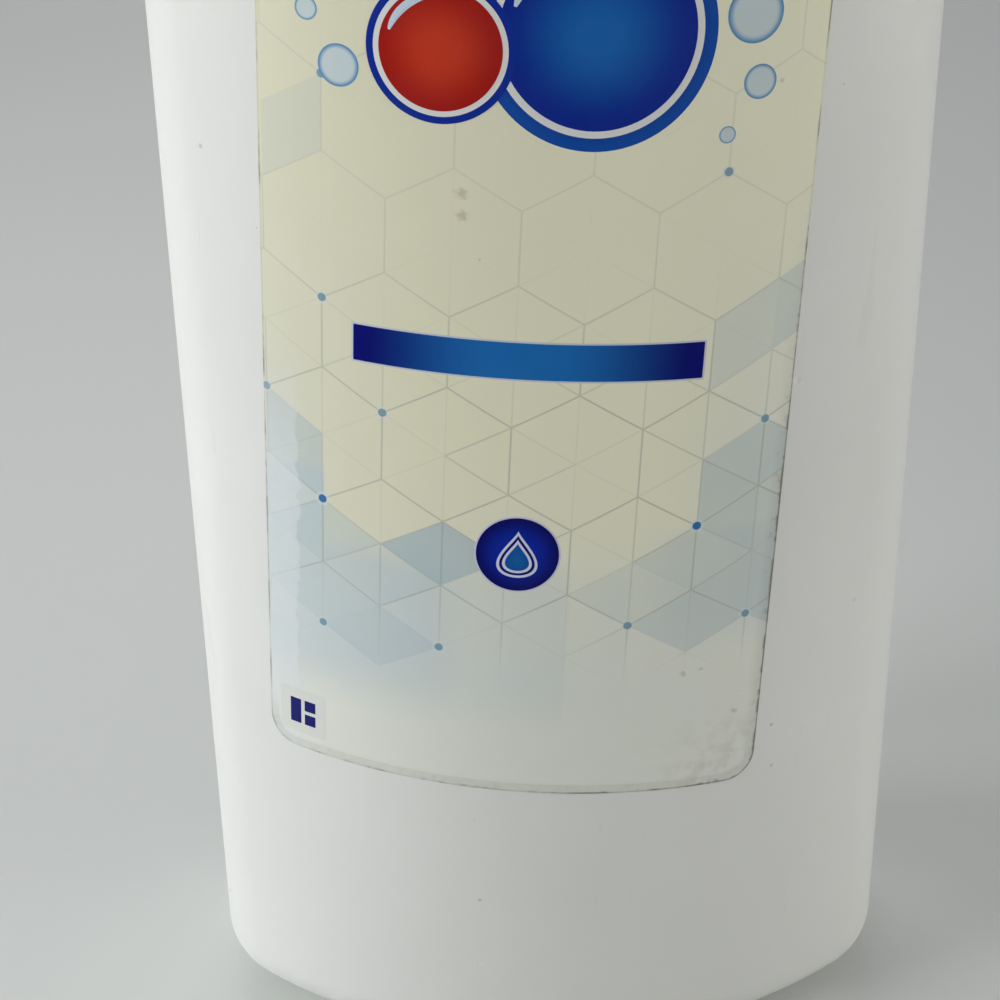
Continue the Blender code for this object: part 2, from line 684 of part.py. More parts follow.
def make_head(parts, cutters):
    """Actuator with its spout, shank and stem socket."""
    side_top = HEAD_BOTTOM + HEAD_SIDE
    inner = HEAD_RADIUS - HEAD_WALL
    socket = STEM_RADIUS + FIT
    roof = HEAD_BOTTOM + STEM_SOCKET
    cavity = side_top - HEAD_WALL
    dome = HEAD_TOP - side_top
    recess = HEAD_TOP - SPOUT_DROP + SPOUT_BORE + FIT
    profile = [(0.0, HEAD_TOP)]
    for step in range(1, DOME_STEPS):
        angle = math.pi / 2.0 * step / DOME_STEPS
        profile.append((HEAD_RADIUS * math.sin(angle), side_top + dome * math.cos(angle) ** DOME_FLATNESS))
    profile += [
        (HEAD_RADIUS, side_top), (HEAD_RADIUS, HEAD_BOTTOM), (inner, HEAD_BOTTOM), (inner, cavity),
        (SHANK_RADIUS, cavity), (SHANK_RADIUS, SHANK_BOTTOM), (socket, SHANK_BOTTOM), (socket, roof),
        (STEM_BORE, roof), (STEM_BORE, recess), (0.0, recess)]
    head = turned("pump_head", profile, parts, closed=False)
    tip = SPOUT_REACH - SPOUT_TIP_RADIUS * SPOUT_TIP_LEAN
    spout = spout_bar("spout_tool", (SPOUT_RADIUS, SPOUT_TIP_RADIUS), SHANK_RADIUS - FIT, tip, cutters)
    combine(head, spout, "UNION")
    channel = spout_bar("channel_cutter", (SPOUT_BORE, SPOUT_BORE), 0.0, SPOUT_REACH + SPOUT_BORE, cutters)
    combine(head, channel, "DIFFERENCE")
    paint(head, make_material("head_white", (0.84, 0.85, 0.85), 0.28))


def make_stem(parts, cutters):
    """Hollow rod with a flange over the piston and two slots at its foot."""
    top = HEAD_BOTTOM + STEM_SOCKET - FIT
    flange_top = STEM_FLANGE_BOTTOM + STEM_FLANGE_HEIGHT
    profile = (
        (STEM_BORE, top), (STEM_RADIUS, top), (STEM_RADIUS, flange_top), (STEM_FLANGE_RADIUS, flange_top),
        (STEM_FLANGE_RADIUS, STEM_FLANGE_BOTTOM), (ROD_RADIUS, STEM_FLANGE_BOTTOM),
        (ROD_RADIUS, PISTON_BOTTOM), (STEM_BORE, PISTON_BOTTOM))
    stem = turned("stem", profile, parts, steps=THIN_ROUND)
    slot = box("stem_slot_cutter", (PORT_WIDTH, 4.0 * ROD_RADIUS, 2.0 * PORT_HEIGHT),
               (0.0, 0.0, PISTON_BOTTOM), cutters)
    combine(stem, slot, "DIFFERENCE")
    paint(stem, make_material("stem_white", (0.82, 0.83, 0.83), 0.36))


def make_piston(parts):
    """Sleeve on the rod with a web and two lips against the cylinder."""
    sleeve = PISTON_BORE + PISTON_WALL
    lip_in = PISTON_RADIUS - PISTON_LIP
    waist_in = lip_in - PISTON_LIP / 2.0
    middle = (PISTON_TOP + PISTON_BOTTOM) / 2.0
    web_top = middle + PISTON_WEB / 2.0
    web_bottom = middle - PISTON_WEB / 2.0
    profile = (
        (PISTON_BORE, PISTON_TOP), (sleeve, PISTON_TOP), (sleeve, web_top), (waist_in, web_top),
        (lip_in, PISTON_TOP), (PISTON_RADIUS, PISTON_TOP), (PISTON_RADIUS - PISTON_LIP / 2.0, middle),
        (PISTON_RADIUS, PISTON_BOTTOM), (lip_in, PISTON_BOTTOM), (waist_in, web_bottom),
        (sleeve, web_bottom), (sleeve, PISTON_BOTTOM), (PISTON_BORE, PISTON_BOTTOM))
    paint(turned("piston", profile, parts), make_material("piston_natural", (0.80, 0.82, 0.80), 0.42))


def make_piston_seat(parts, cutters):
    """Cone that closes the piston's foot, with a plug up the stem and a boss in the spring."""
    rim = SEAT_BOTTOM + SEAT_RIM
    profile = (
        (0.0, SEAT_TOP), (PISTON_BORE - FIT, SEAT_TOP), (SEAT_RADIUS, rim), (SEAT_RADIUS, SEAT_BOTTOM),
        (SEAT_BOSS_RADIUS, SEAT_BOTTOM), (SEAT_BOSS_RADIUS, SEAT_BOTTOM - SEAT_BOSS_LENGTH),
        (0.0, SEAT_BOTTOM - SEAT_BOSS_LENGTH))
    seat = turned("piston_seat", profile, parts, steps=THIN_ROUND, closed=False)
    reach = 2.0 * (STEM_BORE - FIT)
    height = SEAT_PLUG_LENGTH + SEAT_RIM
    centre = (0.0, 0.0, SEAT_TOP - SEAT_RIM + height / 2.0)
    fins = (
        ("plug_fin_across", (reach, SEAT_FIN_WIDTH, height)),
        ("plug_fin_along", (SEAT_FIN_WIDTH, reach, height)))
    for name, size in fins:
        combine(seat, box(name, size, centre, cutters), "UNION")
    paint(seat, make_material("seat_natural", (0.80, 0.82, 0.82), 0.40))


def make_spring(parts):
    """Compression coil between the housing's ledge and the piston seat."""
    curve = bpy.data.curves.new("return_spring", "CURVE")
    curve.dimensions = "3D"
    curve.bevel_depth = SPRING_WIRE_RADIUS
    curve.bevel_resolution = 2
    curve.use_fill_caps = True
    spline = curve.splines.new("POLY")
    count = SPRING_TURNS * SPRING_STEPS
    spline.points.add(count)
    low = SPRING_BOTTOM + SPRING_WIRE_RADIUS
    high = SPRING_TOP - SPRING_WIRE_RADIUS
    for step in range(count + 1):
        share = step / count
        angle = 2.0 * math.pi * SPRING_TURNS * share
        closed_ends = share - math.sin(2.0 * math.pi * share) / (2.0 * math.pi)
        rise = SPRING_END_PITCH * share + (1.0 - SPRING_END_PITCH) * closed_ends
        spline.points[step].co = (
            SPRING_RADIUS * math.cos(angle), SPRING_RADIUS * math.sin(angle),
            low + (high - low) * rise, 1.0)
    item = bpy.data.objects.new("return_spring", curve)
    parts.objects.link(item)
    paint(settle(item, parts), make_material("spring_steel", (0.60, 0.60, 0.60), 0.25, metallic=1.0))


def make_ball(parts):
    """Check ball on its seat at the foot of the housing."""
    shape = bmesh.new()
    bmesh.ops.create_uvsphere(
        shape, u_segments=BALL_FACETS, v_segments=BALL_FACETS // 2, radius=BALL_RADIUS)
    bmesh.ops.translate(shape, verts=shape.verts, vec=(0.0, 0.0, seat_base() + ball_above_seat()))
    ball = from_bmesh("inlet_ball", shape, parts)
    paint(ball, make_material("ball_steel", (0.66, 0.66, 0.66), 0.15, metallic=1.0))


def main():
    """Build every piece of the bottle and its pump."""
    clear_scene()
    parts = make_collection(PARTS_NAME)
    cutters = make_collection(CUTTERS_NAME)
    make_bottle(parts, cutters)
    make_labels(parts)
    make_closure(parts)
    make_gasket(parts)
    make_housing(parts, cutters)
    make_lock_collar(parts)
    make_dip_tube(parts, cutters)
    make_head(parts, cutters)
    make_stem(parts, cutters)
    make_piston(parts)
    make_piston_seat(parts, cutters)
    make_spring(parts)
    make_ball(parts)


if __name__ == "__main__":
    main()
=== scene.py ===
"""Looks of a white hand soap bottle with a printed label and a lotion pump.

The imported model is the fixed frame. Each class below holds the sizes of one sub-assembly in
millimetres, builds its meshes as grids of points worked out with numpy, and dresses them.
The front of the bottle looks towards -Y and the pump's axis is the Z axis.
"""

import logging
import math
from collections.abc import Callable
from dataclasses import dataclass
from enum import Enum
from functools import reduce

import bmesh
import bpy
import numpy as np
from mathutils import Matrix, Vector


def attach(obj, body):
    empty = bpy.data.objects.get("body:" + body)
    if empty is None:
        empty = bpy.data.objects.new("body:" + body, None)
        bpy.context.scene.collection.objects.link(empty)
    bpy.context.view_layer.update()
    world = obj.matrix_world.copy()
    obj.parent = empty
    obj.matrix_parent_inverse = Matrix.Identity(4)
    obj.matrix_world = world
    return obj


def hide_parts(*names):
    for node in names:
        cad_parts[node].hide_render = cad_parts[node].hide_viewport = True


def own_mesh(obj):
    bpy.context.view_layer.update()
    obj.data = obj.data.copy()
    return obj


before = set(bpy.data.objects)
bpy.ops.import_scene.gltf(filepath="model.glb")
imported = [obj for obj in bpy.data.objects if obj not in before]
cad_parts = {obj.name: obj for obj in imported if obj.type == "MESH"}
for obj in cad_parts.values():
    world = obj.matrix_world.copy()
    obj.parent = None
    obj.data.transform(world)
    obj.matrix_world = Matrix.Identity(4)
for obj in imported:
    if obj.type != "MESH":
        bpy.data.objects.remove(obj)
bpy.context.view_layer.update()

MM = 0.001
FULL_TURN = 2.0 * math.pi
QUARTER_TURN = math.pi / 2.0
COLUMN_PITCH = math.sqrt(0.75)
CREASE = math.radians(38.0)
CORNER_STEPS = 5
THREAD_STEPS = 160
THREAD_RUN_OUT = math.radians(35.0)

Node = bpy.types.Node
Tree = bpy.types.NodeTree
Socket = bpy.types.NodeSocket
Material = bpy.types.Material
Piece = bpy.types.Object
Array = np.ndarray
Colour = tuple[float, float, float]
Point = tuple[float, float]
Range = tuple[float, float]
Place = tuple[float, float, float]
Noise = tuple[float, float, float, float]
Feed = Socket | float | tuple
Feeds = dict[str | int, Feed]
Pair = tuple[Array, Array]
Patch = tuple[Array, Array | None]

log = logging.getLogger("soap_bottle")


class Body(Enum):
    """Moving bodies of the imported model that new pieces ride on."""

    BOTTLE = "bottle"
    PUMP = "pump"
    CLOSURE = "closure"
    HEAD = "head"


class Slot(Enum):
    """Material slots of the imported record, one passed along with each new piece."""

    BOTTLE = "bottle_white"
    FRONT_FILM = "label_film"
    BACK_FILM = "label_back_film"
    CLOSURE = "closure_white"
    GASKET = "gasket_foam"
    NATURAL = "natural_plastic"
    PUMP = "pump_white"
    SPRING = "spring_steel"
    TUBE = "tube_plastic"


class Cell(Enum):
    """Rhombus of the label's lattice, named by the two families of lines that bound it."""

    UPRIGHT_RISING = "Upright Rising"
    UPRIGHT_FALLING = "Upright Falling"
    RISING_FALLING = "Rising Falling"


class Way(Enum):
    """Direction over a label: to the right, up, or out to either side from its middle."""

    ACROSS = 0
    UP = 1
    ASIDE = 2


class Wiring:
    """Adds nodes to one node tree and joins them."""

    def __init__(self, tree: Tree) -> None:
        """Keep the tree that is being wired."""
        self.tree = tree

    def fill(self, node: Node, feeds: Feeds) -> Node:
        """Feed the inputs of a node.

        Args:
            node: the node.
            feeds: socket to link or plain value to set, by the input's name or number.

        Returns:
            The same node.
        """
        for key, value in feeds.items():
            if isinstance(value, Socket):
                self.tree.links.new(value, node.inputs[key])
            else:
                node.inputs[key].default_value = value
        return node

    def node(self, kind: str, feeds: Feeds | None = None, **settings: object) -> Node:
        """Add a shader node.

        Args:
            kind: the node's type without its ShaderNode prefix.
            feeds: what goes into its inputs.
            **settings: properties, which are set first.

        Returns:
            The new node.
        """
        made = self.tree.nodes.new(f"ShaderNode{kind}")
        for name, value in settings.items():
            setattr(made, name, value)
        return self.fill(made, feeds or {})

    def math(self, operation: str, *values: Feed) -> Socket:
        """Return the result of one Math operation."""
        return self.node("Math", dict(enumerate(values)), operation=operation).outputs[0]

    def times(self, *values: Feed) -> Socket:
        """Return the product of some values."""
        return reduce(lambda product, value: self.math("MULTIPLY", product, value), values)

    def most(self, *values: Feed) -> Socket:
        """Return the greatest of some values."""
        return reduce(lambda greatest, value: self.math("MAXIMUM", greatest, value), values)

    def vector(self, operation: str, *values: Feed, output: int = 0) -> Socket:
        """Return the result of one Vector Math operation, output 1 for a length or distance."""
        return self.node("VectorMath", dict(enumerate(values)), operation=operation).outputs[output]

    def step(self, value: Feed, low: float, high: float) -> Socket:
        """Return 0 at low and 1 at high with a smooth rise between; low may be above high."""
        falling = float(low > high)
        return self.node("MapRange", {
            "Value": value, "From Min": min(low, high), "From Max": max(low, high),
            "To Min": falling, "To Max": 1.0 - falling}, interpolation_type="SMOOTHSTEP").outputs[0]

    def scaled(self, value: Feed, low: float, high: float) -> Socket:
        """Return a share of 0 to 1 stretched to the range from low to high."""
        return self.node("MapRange", {"Value": value, "To Min": low, "To Max": high}).outputs[0]

    def mix(self, share: Feed, first: Feed, second: Feed) -> Socket:
        """Return a colour between two colours; plain colours are given as three numbers."""
        ends = [(*end, 1.0) if isinstance(end, tuple) else end for end in (first, second)]
        return self.node("Mix", {0: share, 6: ends[0], 7: ends[1]}, data_type="RGBA").outputs[2]

    def laid(self, colour: Feed, tone: Feed, *shares: Feed) -> Socket:
        """Return a colour with a tone laid over it by the product of some shares."""
        return self.mix(self.times(*shares), colour, tone)

    def noise(self, place: Feed, scale: Feed, detail: float = 2.0) -> Socket:
        """Return a smooth noise value at a place."""
        return self.node("TexNoise", {"Vector": place, "Scale": scale, "Detail": detail}).outputs[0]

    def split(self, vector: Feed) -> list[Socket]:
        """Return the three parts of a vector."""
        return list(self.node("SeparateXYZ", {0: vector}).outputs)

    def join(self, x: Feed, y: Feed, z: Feed = 0.0) -> Socket:
        """Return a vector made of three parts."""
        return self.node("CombineXYZ", {0: x, 1: y, 2: z}).outputs[0]

    def place(self) -> Socket:
        """Return the object coordinates, in metres."""
        return self.node("TexCoord").outputs["Object"]

    def attribute(self, name: str) -> Socket:
        """Return the vector of an attribute of the mesh."""
        return self.node("Attribute", attribute_name=name).outputs["Vector"]

    def equals(self, vector: Feed, first: int, second: int) -> Socket:
        """Return 1 where a vector of whole numbers starts with the given two, and 0 elsewhere."""
        off = self.vector("DISTANCE", vector, (first, second, 0.0), output=1)
        return self.math("LESS_THAN", off, 0.5)

    def relief(self, height: Feed, depth: float, over: Feed | None = None) -> Socket:
        """Return the normal of a relief of depth metres for a change of 1, over another normal."""
        below = {} if over is None else {"Normal": over}
        return self.node("Bump", {"Distance": depth, "Height": height, **below}).outputs[0]

    def group(
            self, build: Callable[[str], Tree], **values: Feed) -> bpy.types.bpy_prop_collection:
        """Place the node group that a function builds.

        Args:
            build: builds the group at its first use; its name without build_ is the group's.
            **values: what goes into the inputs, with spaces in their names as underscores.

        Returns:
            The group's outputs, by name.
        """
        name = build.__name__.removeprefix("build_")
        tree = bpy.data.node_groups.get(name) or build(name)
        feeds = {label.replace("_", " "): value for label, value in values.items()}
        return self.node("Group", feeds, node_tree=tree).outputs


class GroupWiring(Wiring):
    """Wires a new shader node group."""

    def __init__(
            self, name: str, inputs: dict[str, float | None], outputs: dict[str, str]) -> None:
        """Make the group and its sockets.

        Args:
            name: name of the group.
            inputs: default of each input, None for a vector.
            outputs: kind of each output, Float or Vector.
        """
        super().__init__(bpy.data.node_groups.new(name, "ShaderNodeTree"))
        face = self.tree.interface
        for label, default in inputs.items():
            kind = "NodeSocketVector" if default is None else "NodeSocketFloat"
            socket = face.new_socket(name=label, in_out="INPUT", socket_type=kind)
            if default is not None:
                socket.default_value = default
        for label, kind in outputs.items():
            face.new_socket(name=label, in_out="OUTPUT", socket_type=f"NodeSocket{kind}")
        self.given = self.tree.nodes.new("NodeGroupInput").outputs
        self.target = self.tree.nodes.new("NodeGroupOutput")

    def finished(self, feeds: Feeds) -> Tree:
        """Feed the group's outputs by name and return the group."""
        self.fill(self.target, feeds)
        return self.tree


def build_mould_grain(name: str) -> Tree:
    """Build a fine mould grain over a slow unevenness.

    The height is two parts fine noise and one part noise seven times coarser. The tone is a
    slow noise thirty times coarser.

    Args:
        name: name of the group.

    Returns:
        The group, which puts out Height and Tone.
    """
    wires = GroupWiring(
        name, {"Vector": None, "Scale": 900.0}, {"Height": "Float", "Tone": "Float"})
    place, scale = wires.given["Vector"], wires.given["Scale"]
    fine = wires.noise(place, scale, 3.0)
    coarse = wires.noise(place, wires.math("DIVIDE", scale, 7.0), 1.0)
    slow = wires.noise(place, wires.math("DIVIDE", scale, 30.0), 2.0)
    height = wires.math("MULTIPLY_ADD", fine, 0.66, wires.times(coarse, 0.34))
    return wires.finished({"Height": height, "Tone": wires.step(slow, 0.3, 0.7)})


def build_flecks(name: str) -> Tree:
    """Build small separate specks with soft rims.

    Each cell of a cell pattern holds one speck at its point, and only the share of the cells
    whose random colour is below Share shows it. Size and strength are random as well.

    Args:
        name: name of the group.

    Returns:
        The group, which puts out Mask.
    """
    wires = GroupWiring(
        name, {"Vector": None, "Scale": 150.0, "Size": 0.045, "Share": 0.05, "Weakest": 0.25},
        {"Mask": "Float"})
    given = wires.given
    cells = wires.node("TexVoronoi", {"Vector": given["Vector"], "Scale": given["Scale"]}).outputs
    chance, wide, strong = wires.split(cells["Color"])
    size = wires.times(given["Size"], wires.scaled(wide, 0.4, 1.6))
    inside = wires.math("DIVIDE", wires.times(2.0, cells["Distance"]), size)
    inside = wires.most(wires.math("MINIMUM", wires.math("SUBTRACT", 2.0, inside), 1.0), 0.0)
    kept = wires.math("LESS_THAN", chance, given["Share"])
    return wires.finished({"Mask": wires.times(inside, kept, wires.most(strong, given["Weakest"]))})


def build_scuffs(name: str) -> Tree:
    """Build short thin rub marks, nearly straight and slanted.

    A mark runs where a noise that is turned and drawn out lengthwise is near its middle value,
    and a second noise cuts the marks into short pieces.

    Args:
        name: name of the group.

    Returns:
        The group, which puts out Mask.
    """
    wires = GroupWiring(
        name, {"Vector": None, "Scale": 150.0, "Width": 0.006, "Amount": 0.4}, {"Mask": "Float"})
    place, scale = wires.given["Vector"], wires.given["Scale"]
    slanted = wires.node("Mapping", {
        "Vector": place, "Rotation": (0.35, 0.60, 0.0), "Scale": (1.0, 1.0, 0.05)}).outputs[0]
    off = wires.math("ABSOLUTE", wires.math("SUBTRACT", wires.noise(slanted, scale, 0.0), 0.5))
    line = wires.math("LESS_THAN", off, wires.given["Width"])
    patch = wires.noise(place, wires.times(scale, 0.7), 1.0)
    kept = wires.times(wires.step(patch, 0.60, 0.70), wires.given["Amount"])
    return wires.finished({"Mask": wires.times(line, kept)})


def build_dust(name: str) -> Tree:
    """Build thin dust on what faces up, broken up by noise.

    Args:
        name: name of the group.

    Returns:
        The group, which puts out Mask.
    """
    wires = GroupWiring(name, {"Vector": None, "Normal": None, "Amount": 0.2}, {"Mask": "Float"})
    up = wires.step(wires.split(wires.given["Normal"])[2], 0.35, 1.0)
    broken = wires.step(wires.noise(wires.given["Vector"], 260.0, 4.0), 0.35, 0.75)
    return wires.finished({"Mask": wires.times(up, broken, wires.given["Amount"])})


def build_lattice_print(name: str) -> Tree:
    """Build a triangular lattice of printed lines, with its nodes and its rhombic cells.

    The input is a place in lattice coordinates (c, r), where c counts the columns of nodes
    and r the steps up a column, less half a step for each column. Lines run where c, r or
    c + r is whole. A line that isn't part of the honeycomb is a spoke, and has a random
    strength.

    Args:
        name: name of the group.

    Returns:
        The group, which puts out Lines, the nearest Node, its distance and the three cells.
    """
    wires = GroupWiring(
        name, {"Vector": None, "Half Width": 0.009, "Blur": 0.007, "Spokes": 0.5},
        {"Lines": "Float", "Node": "Vector", "Node Distance": "Float",
         **{cell.value: "Vector" for cell in Cell}})
    column, rise, _ = wires.split(wires.given["Vector"])
    values = {"c": column, "r": rise, "n": wires.math("ADD", column, rise)}
    whole = {key: wires.math("FLOOR", value) for key, value in values.items()}
    near = {key: wires.math("ROUND", value) for key, value in values.items()}
    half = wires.given["Half Width"]
    outer = wires.math("ADD", half, wires.given["Blur"])
    lines = [0.0]
    for key, (first, second), (one, two), comb_kind, seed in (
            ("c", (near["c"], whole["r"]), (1.0, -1.0), 1.0, 0.0),
            ("r", (whole["c"], near["r"]), (1.0, -1.0), 0.0, 17.0),
            ("n", (whole["c"], near["n"]), (2.0, -1.0), 1.0, 41.0)):
        gap = wires.times(
            wires.math("ABSOLUTE", wires.math("SUBTRACT", values[key], near[key])), COLUMN_PITCH)
        soft = wires.node("MapRange", {
            "Value": gap, "From Min": half, "From Max": outer, "To Min": 1.0, "To Max": 0.0},
            interpolation_type="SMOOTHSTEP").outputs[0]
        kind = wires.math("MULTIPLY_ADD", first, one, wires.times(second, two))
        kind = wires.math("FLOORED_MODULO", wires.math("ADD", kind, 0.5), 3.0)
        comb = wires.math("COMPARE", kind, comb_kind + 0.5, 0.1)
        chance = wires.node(
            "TexWhiteNoise", {"Vector": wires.join(first, second, seed)}, noise_dimensions="3D")
        chance = wires.step(chance.outputs["Value"], 0.1, 0.9)
        spoke = wires.times(wires.given["Spokes"], wires.scaled(chance, 0.25, 1.0))
        lines.append(wires.times(soft, wires.most(comb, spoke)))
    aside = wires.math("SUBTRACT", column, near["c"])
    above = wires.math("MULTIPLY_ADD", aside, 0.5, wires.math("SUBTRACT", rise, near["r"]))
    flat = wires.join(wires.times(aside, COLUMN_PITCH), above)
    return wires.finished({
        "Lines": wires.most(*lines), "Node": wires.join(near["c"], near["r"]),
        "Node Distance": wires.vector("LENGTH", flat, output=1),
        Cell.UPRIGHT_RISING.value: wires.join(whole["c"], whole["r"]),
        Cell.UPRIGHT_FALLING.value: wires.join(whole["c"], whole["n"]),
        Cell.RISING_FALLING.value: wires.join(whole["r"], whole["n"])})


@dataclass(frozen=True)
class Finish:
    """What all finishes share: a name, and a material with one Principled shader."""

    name: str

    def surface(self, wires: Wiring) -> Feeds:
        """Return what goes into the shader, by the input's name; a bare finish feeds nothing."""
        return {}

    def material(self) -> Material:
        """Build the material.

        Returns:
            A new material whose shader is fed by the finish's surface.
        """
        material = bpy.data.materials.new(self.name)
        material.use_nodes = True
        wires = Wiring(material.node_tree)
        wires.fill(material.node_tree.nodes["Principled BSDF"], self.surface(wires))
        return material


@dataclass(frozen=True)
class Plastic(Finish):
    """Moulded or blown plastic with grain, slow tone changes, specks, nicks, rub marks and dust."""

    colour: Colour
    shade: Colour
    roughness: Range = (0.30, 0.40)
    grain: float = 900.0
    relief: float = 0.000012
    specks: float = 0.5
    nicks: float = 0.3
    scuffs: float = 0.25
    dust: float = 0.10
    milky: float = 0.0
    speck_colour: Colour = (0.22, 0.20, 0.17)
    speck_strength: float = 0.75
    nick_colour: Colour = (0.88, 0.89, 0.88)
    nick_strength: float = 0.5
    nick_depth: float = 0.00012
    nick_shift: Colour = (0.311, 0.127, 0.253)
    dust_colour: Colour = (0.62, 0.60, 0.56)
    scuff_strength: float = 0.6
    rubbed_roughness: float = 0.25
    light_depth: float = 0.003
    light_reach: Colour = (1.0, 0.9, 0.8)

    def surface(self, wires: Wiring) -> Feeds:
        """Wire the plastic.

        Args:
            wires: wiring of the material.

        Returns:
            What goes into the shader, by the input's name.
        """
        place = wires.place()
        grain = wires.group(build_mould_grain, Vector=place, Scale=self.grain)
        specks = wires.group(build_flecks, Vector=place, Share=self.specks)["Mask"]
        elsewhere = wires.vector("ADD", place, self.nick_shift)
        nicks = wires.group(
            build_flecks, Vector=elsewhere, Scale=120.0, Size=0.055, Share=self.nicks)["Mask"]
        scuffs = wires.group(build_scuffs, Vector=place, Amount=self.scuffs)["Mask"]
        facing = wires.node("NewGeometry").outputs["Normal"]
        dust = wires.group(build_dust, Vector=place, Normal=facing, Amount=self.dust)["Mask"]
        colour = wires.mix(grain["Tone"], self.colour, self.shade)
        colour = wires.laid(colour, self.dust_colour, scuffs, self.scuff_strength)
        colour = wires.laid(colour, self.dust_colour, dust)
        colour = wires.laid(colour, self.speck_colour, specks, self.speck_strength)
        colour = wires.laid(colour, self.nick_colour, nicks, self.nick_strength)
        rough = wires.scaled(grain["Tone"], *self.roughness)
        rubbed = wires.math("ADD", scuffs, dust)
        dents = wires.relief(wires.times(nicks, -1.0), self.nick_depth)
        return {
            "Base Color": colour,
            "Roughness": wires.math("MULTIPLY_ADD", rubbed, self.rubbed_roughness, rough),
            "Normal": wires.relief(grain["Height"], self.relief, over=dents),
            "Subsurface Weight": self.milky, "Subsurface Scale": self.light_depth,
            "Subsurface Radius": self.light_reach}


@dataclass(frozen=True)
class Steel(Finish):
    """Bright steel with fine draw lines and a slight tarnish."""

    colour: Colour = (0.62, 0.61, 0.59)
    tarnish: Colour = (0.36, 0.34, 0.31)
    roughness: Range = (0.16, 0.34)
    grain: float = 2400.0
    relief: float = 0.000004

    def surface(self, wires: Wiring) -> Feeds:
        """Wire the steel.

        Args:
            wires: wiring of the material.

        Returns:
            What goes into the shader, by the input's name.
        """
        place = wires.place()
        grain = wires.group(build_mould_grain, Vector=place, Scale=self.grain)
        scuffs = wires.group(build_scuffs, Vector=place, Scale=500.0, Amount=0.6)["Mask"]
        share = wires.most(wires.times(grain["Tone"], 0.5), scuffs)
        return {
            "Base Color": wires.mix(share, self.colour, self.tarnish),
            "Roughness": wires.scaled(share, *self.roughness),
            "Normal": wires.relief(grain["Height"], self.relief), "Metallic": 1.0}


@dataclass(frozen=True)
class Foam(Finish):
    """Closed-cell foam with small open pores, which are darkened with painted shade."""

    colour: Colour = (0.66, 0.68, 0.68)
    pore_colour: Colour = (0.34, 0.35, 0.35)
    pore_strength: float = 0.55
    roughness: Range = (0.62, 0.82)
    relief: float = 0.00004

    def surface(self, wires: Wiring) -> Feeds:
        """Wire the foam.

        Args:
            wires: wiring of the material.

        Returns:
            What goes into the shader, by the input's name.
        """
        place = wires.place()
        pores = wires.group(
            build_flecks, Vector=place, Scale=2600.0, Size=0.40, Share=0.8, Weakest=0.6)["Mask"]
        grain = wires.group(build_mould_grain, Vector=place, Scale=1800.0)
        height = wires.math("SUBTRACT", grain["Height"], pores)
        return {
            # Painted shade: the pores are laid darker than the foam around them.
            "Base Color": wires.laid(self.colour, self.pore_colour, pores, self.pore_strength),
            "Roughness": wires.scaled(grain["Tone"], *self.roughness),
            "Normal": wires.relief(height, self.relief)}


@dataclass(frozen=True)
class Ink(Finish):
    """Printed ink of one tone, or of one that runs to another at the rim.

    The mesh carries the attribute ink_run, whose X is 0 in the middle and 1 at the rim.
    """

    middle: Colour
    rim: Colour | None = None
    start: float = 0.0
    stop: float = 1.0
    roughness: Range = (0.30, 0.40)
    faded: Colour = (0.30, 0.36, 0.48)
    fade: float = 0.012
    bare: Colour = (0.55, 0.57, 0.56)
    pinhole_strength: float = 0.5
    relief: float = 0.000003
    gloss: float = 0.09

    def surface(self, wires: Wiring) -> Feeds:
        """Wire the ink.

        Args:
            wires: wiring of the material.

        Returns:
            What goes into the shader, by the input's name.
        """
        place = wires.place()
        run = wires.step(wires.split(wires.attribute("ink_run"))[0], self.start, self.stop)
        grain = wires.group(build_mould_grain, Vector=place, Scale=3200.0)
        pinholes = wires.group(
            build_flecks, Vector=place, Scale=900.0, Size=0.10, Share=0.008)["Mask"]
        colour = wires.mix(run, self.middle, self.rim or self.middle)
        colour = wires.laid(colour, self.faded, grain["Tone"], self.fade)
        return {
            "Base Color": wires.laid(colour, self.bare, pinholes, self.pinhole_strength),
            "Roughness": wires.scaled(grain["Tone"], *self.roughness),
            "Normal": wires.relief(grain["Height"], self.relief), "Specular IOR Level": self.gloss}


@dataclass(frozen=True)
class Fade:
    """Smooth change over a label, in millimetres: least at start and most at stop."""

    way: Way
    start: float
    stop: float
    least: float = 0.0
    most: float = 1.0


Region = tuple[Fade, ...]


class LabelField:
    """Values over a label in one material.

    The mesh carries the attribute film_place: millimetres to the right of the label's middle
    and up from its lower edge.
    """

    def __init__(self, wires: Wiring) -> None:
        """Read the place.

        Args:
            wires: wiring of the material.
        """
        self.wires = wires
        self.place = wires.attribute("film_place")
        self.across, self.up, _ = wires.split(self.place)
        self.ways = (self.across, self.up, wires.math("ABSOLUTE", self.across))
        self.uneven = wires.noise(self.place, 0.09, 2.0)

    def share(self, region: Region) -> Socket:
        """Multiply the fades of a region.

        Args:
            region: the fades.

        Returns:
            The product, which is 1 where every fade is.
        """
        shares = []
        for fade in region:
            share = self.wires.step(self.ways[fade.way.value], fade.start, fade.stop)
            plain = (fade.least, fade.most) == (0.0, 1.0)
            shares.append(share if plain else self.wires.scaled(share, fade.least, fade.most))
        return self.wires.times(*shares)

    def ragged(self, scale: float, detail: float, low: float, high: float) -> Socket:
        """Return a noise over the label that is cut off to 0 at low and to 1 at high."""
        return self.wires.step(self.wires.noise(self.place, scale, detail), low, high)

    def varied(self, low: float, high: float) -> Socket:
        """Return a slow unevenness over the label, stretched to the range from low to high."""
        return self.wires.scaled(self.uneven, low, high)


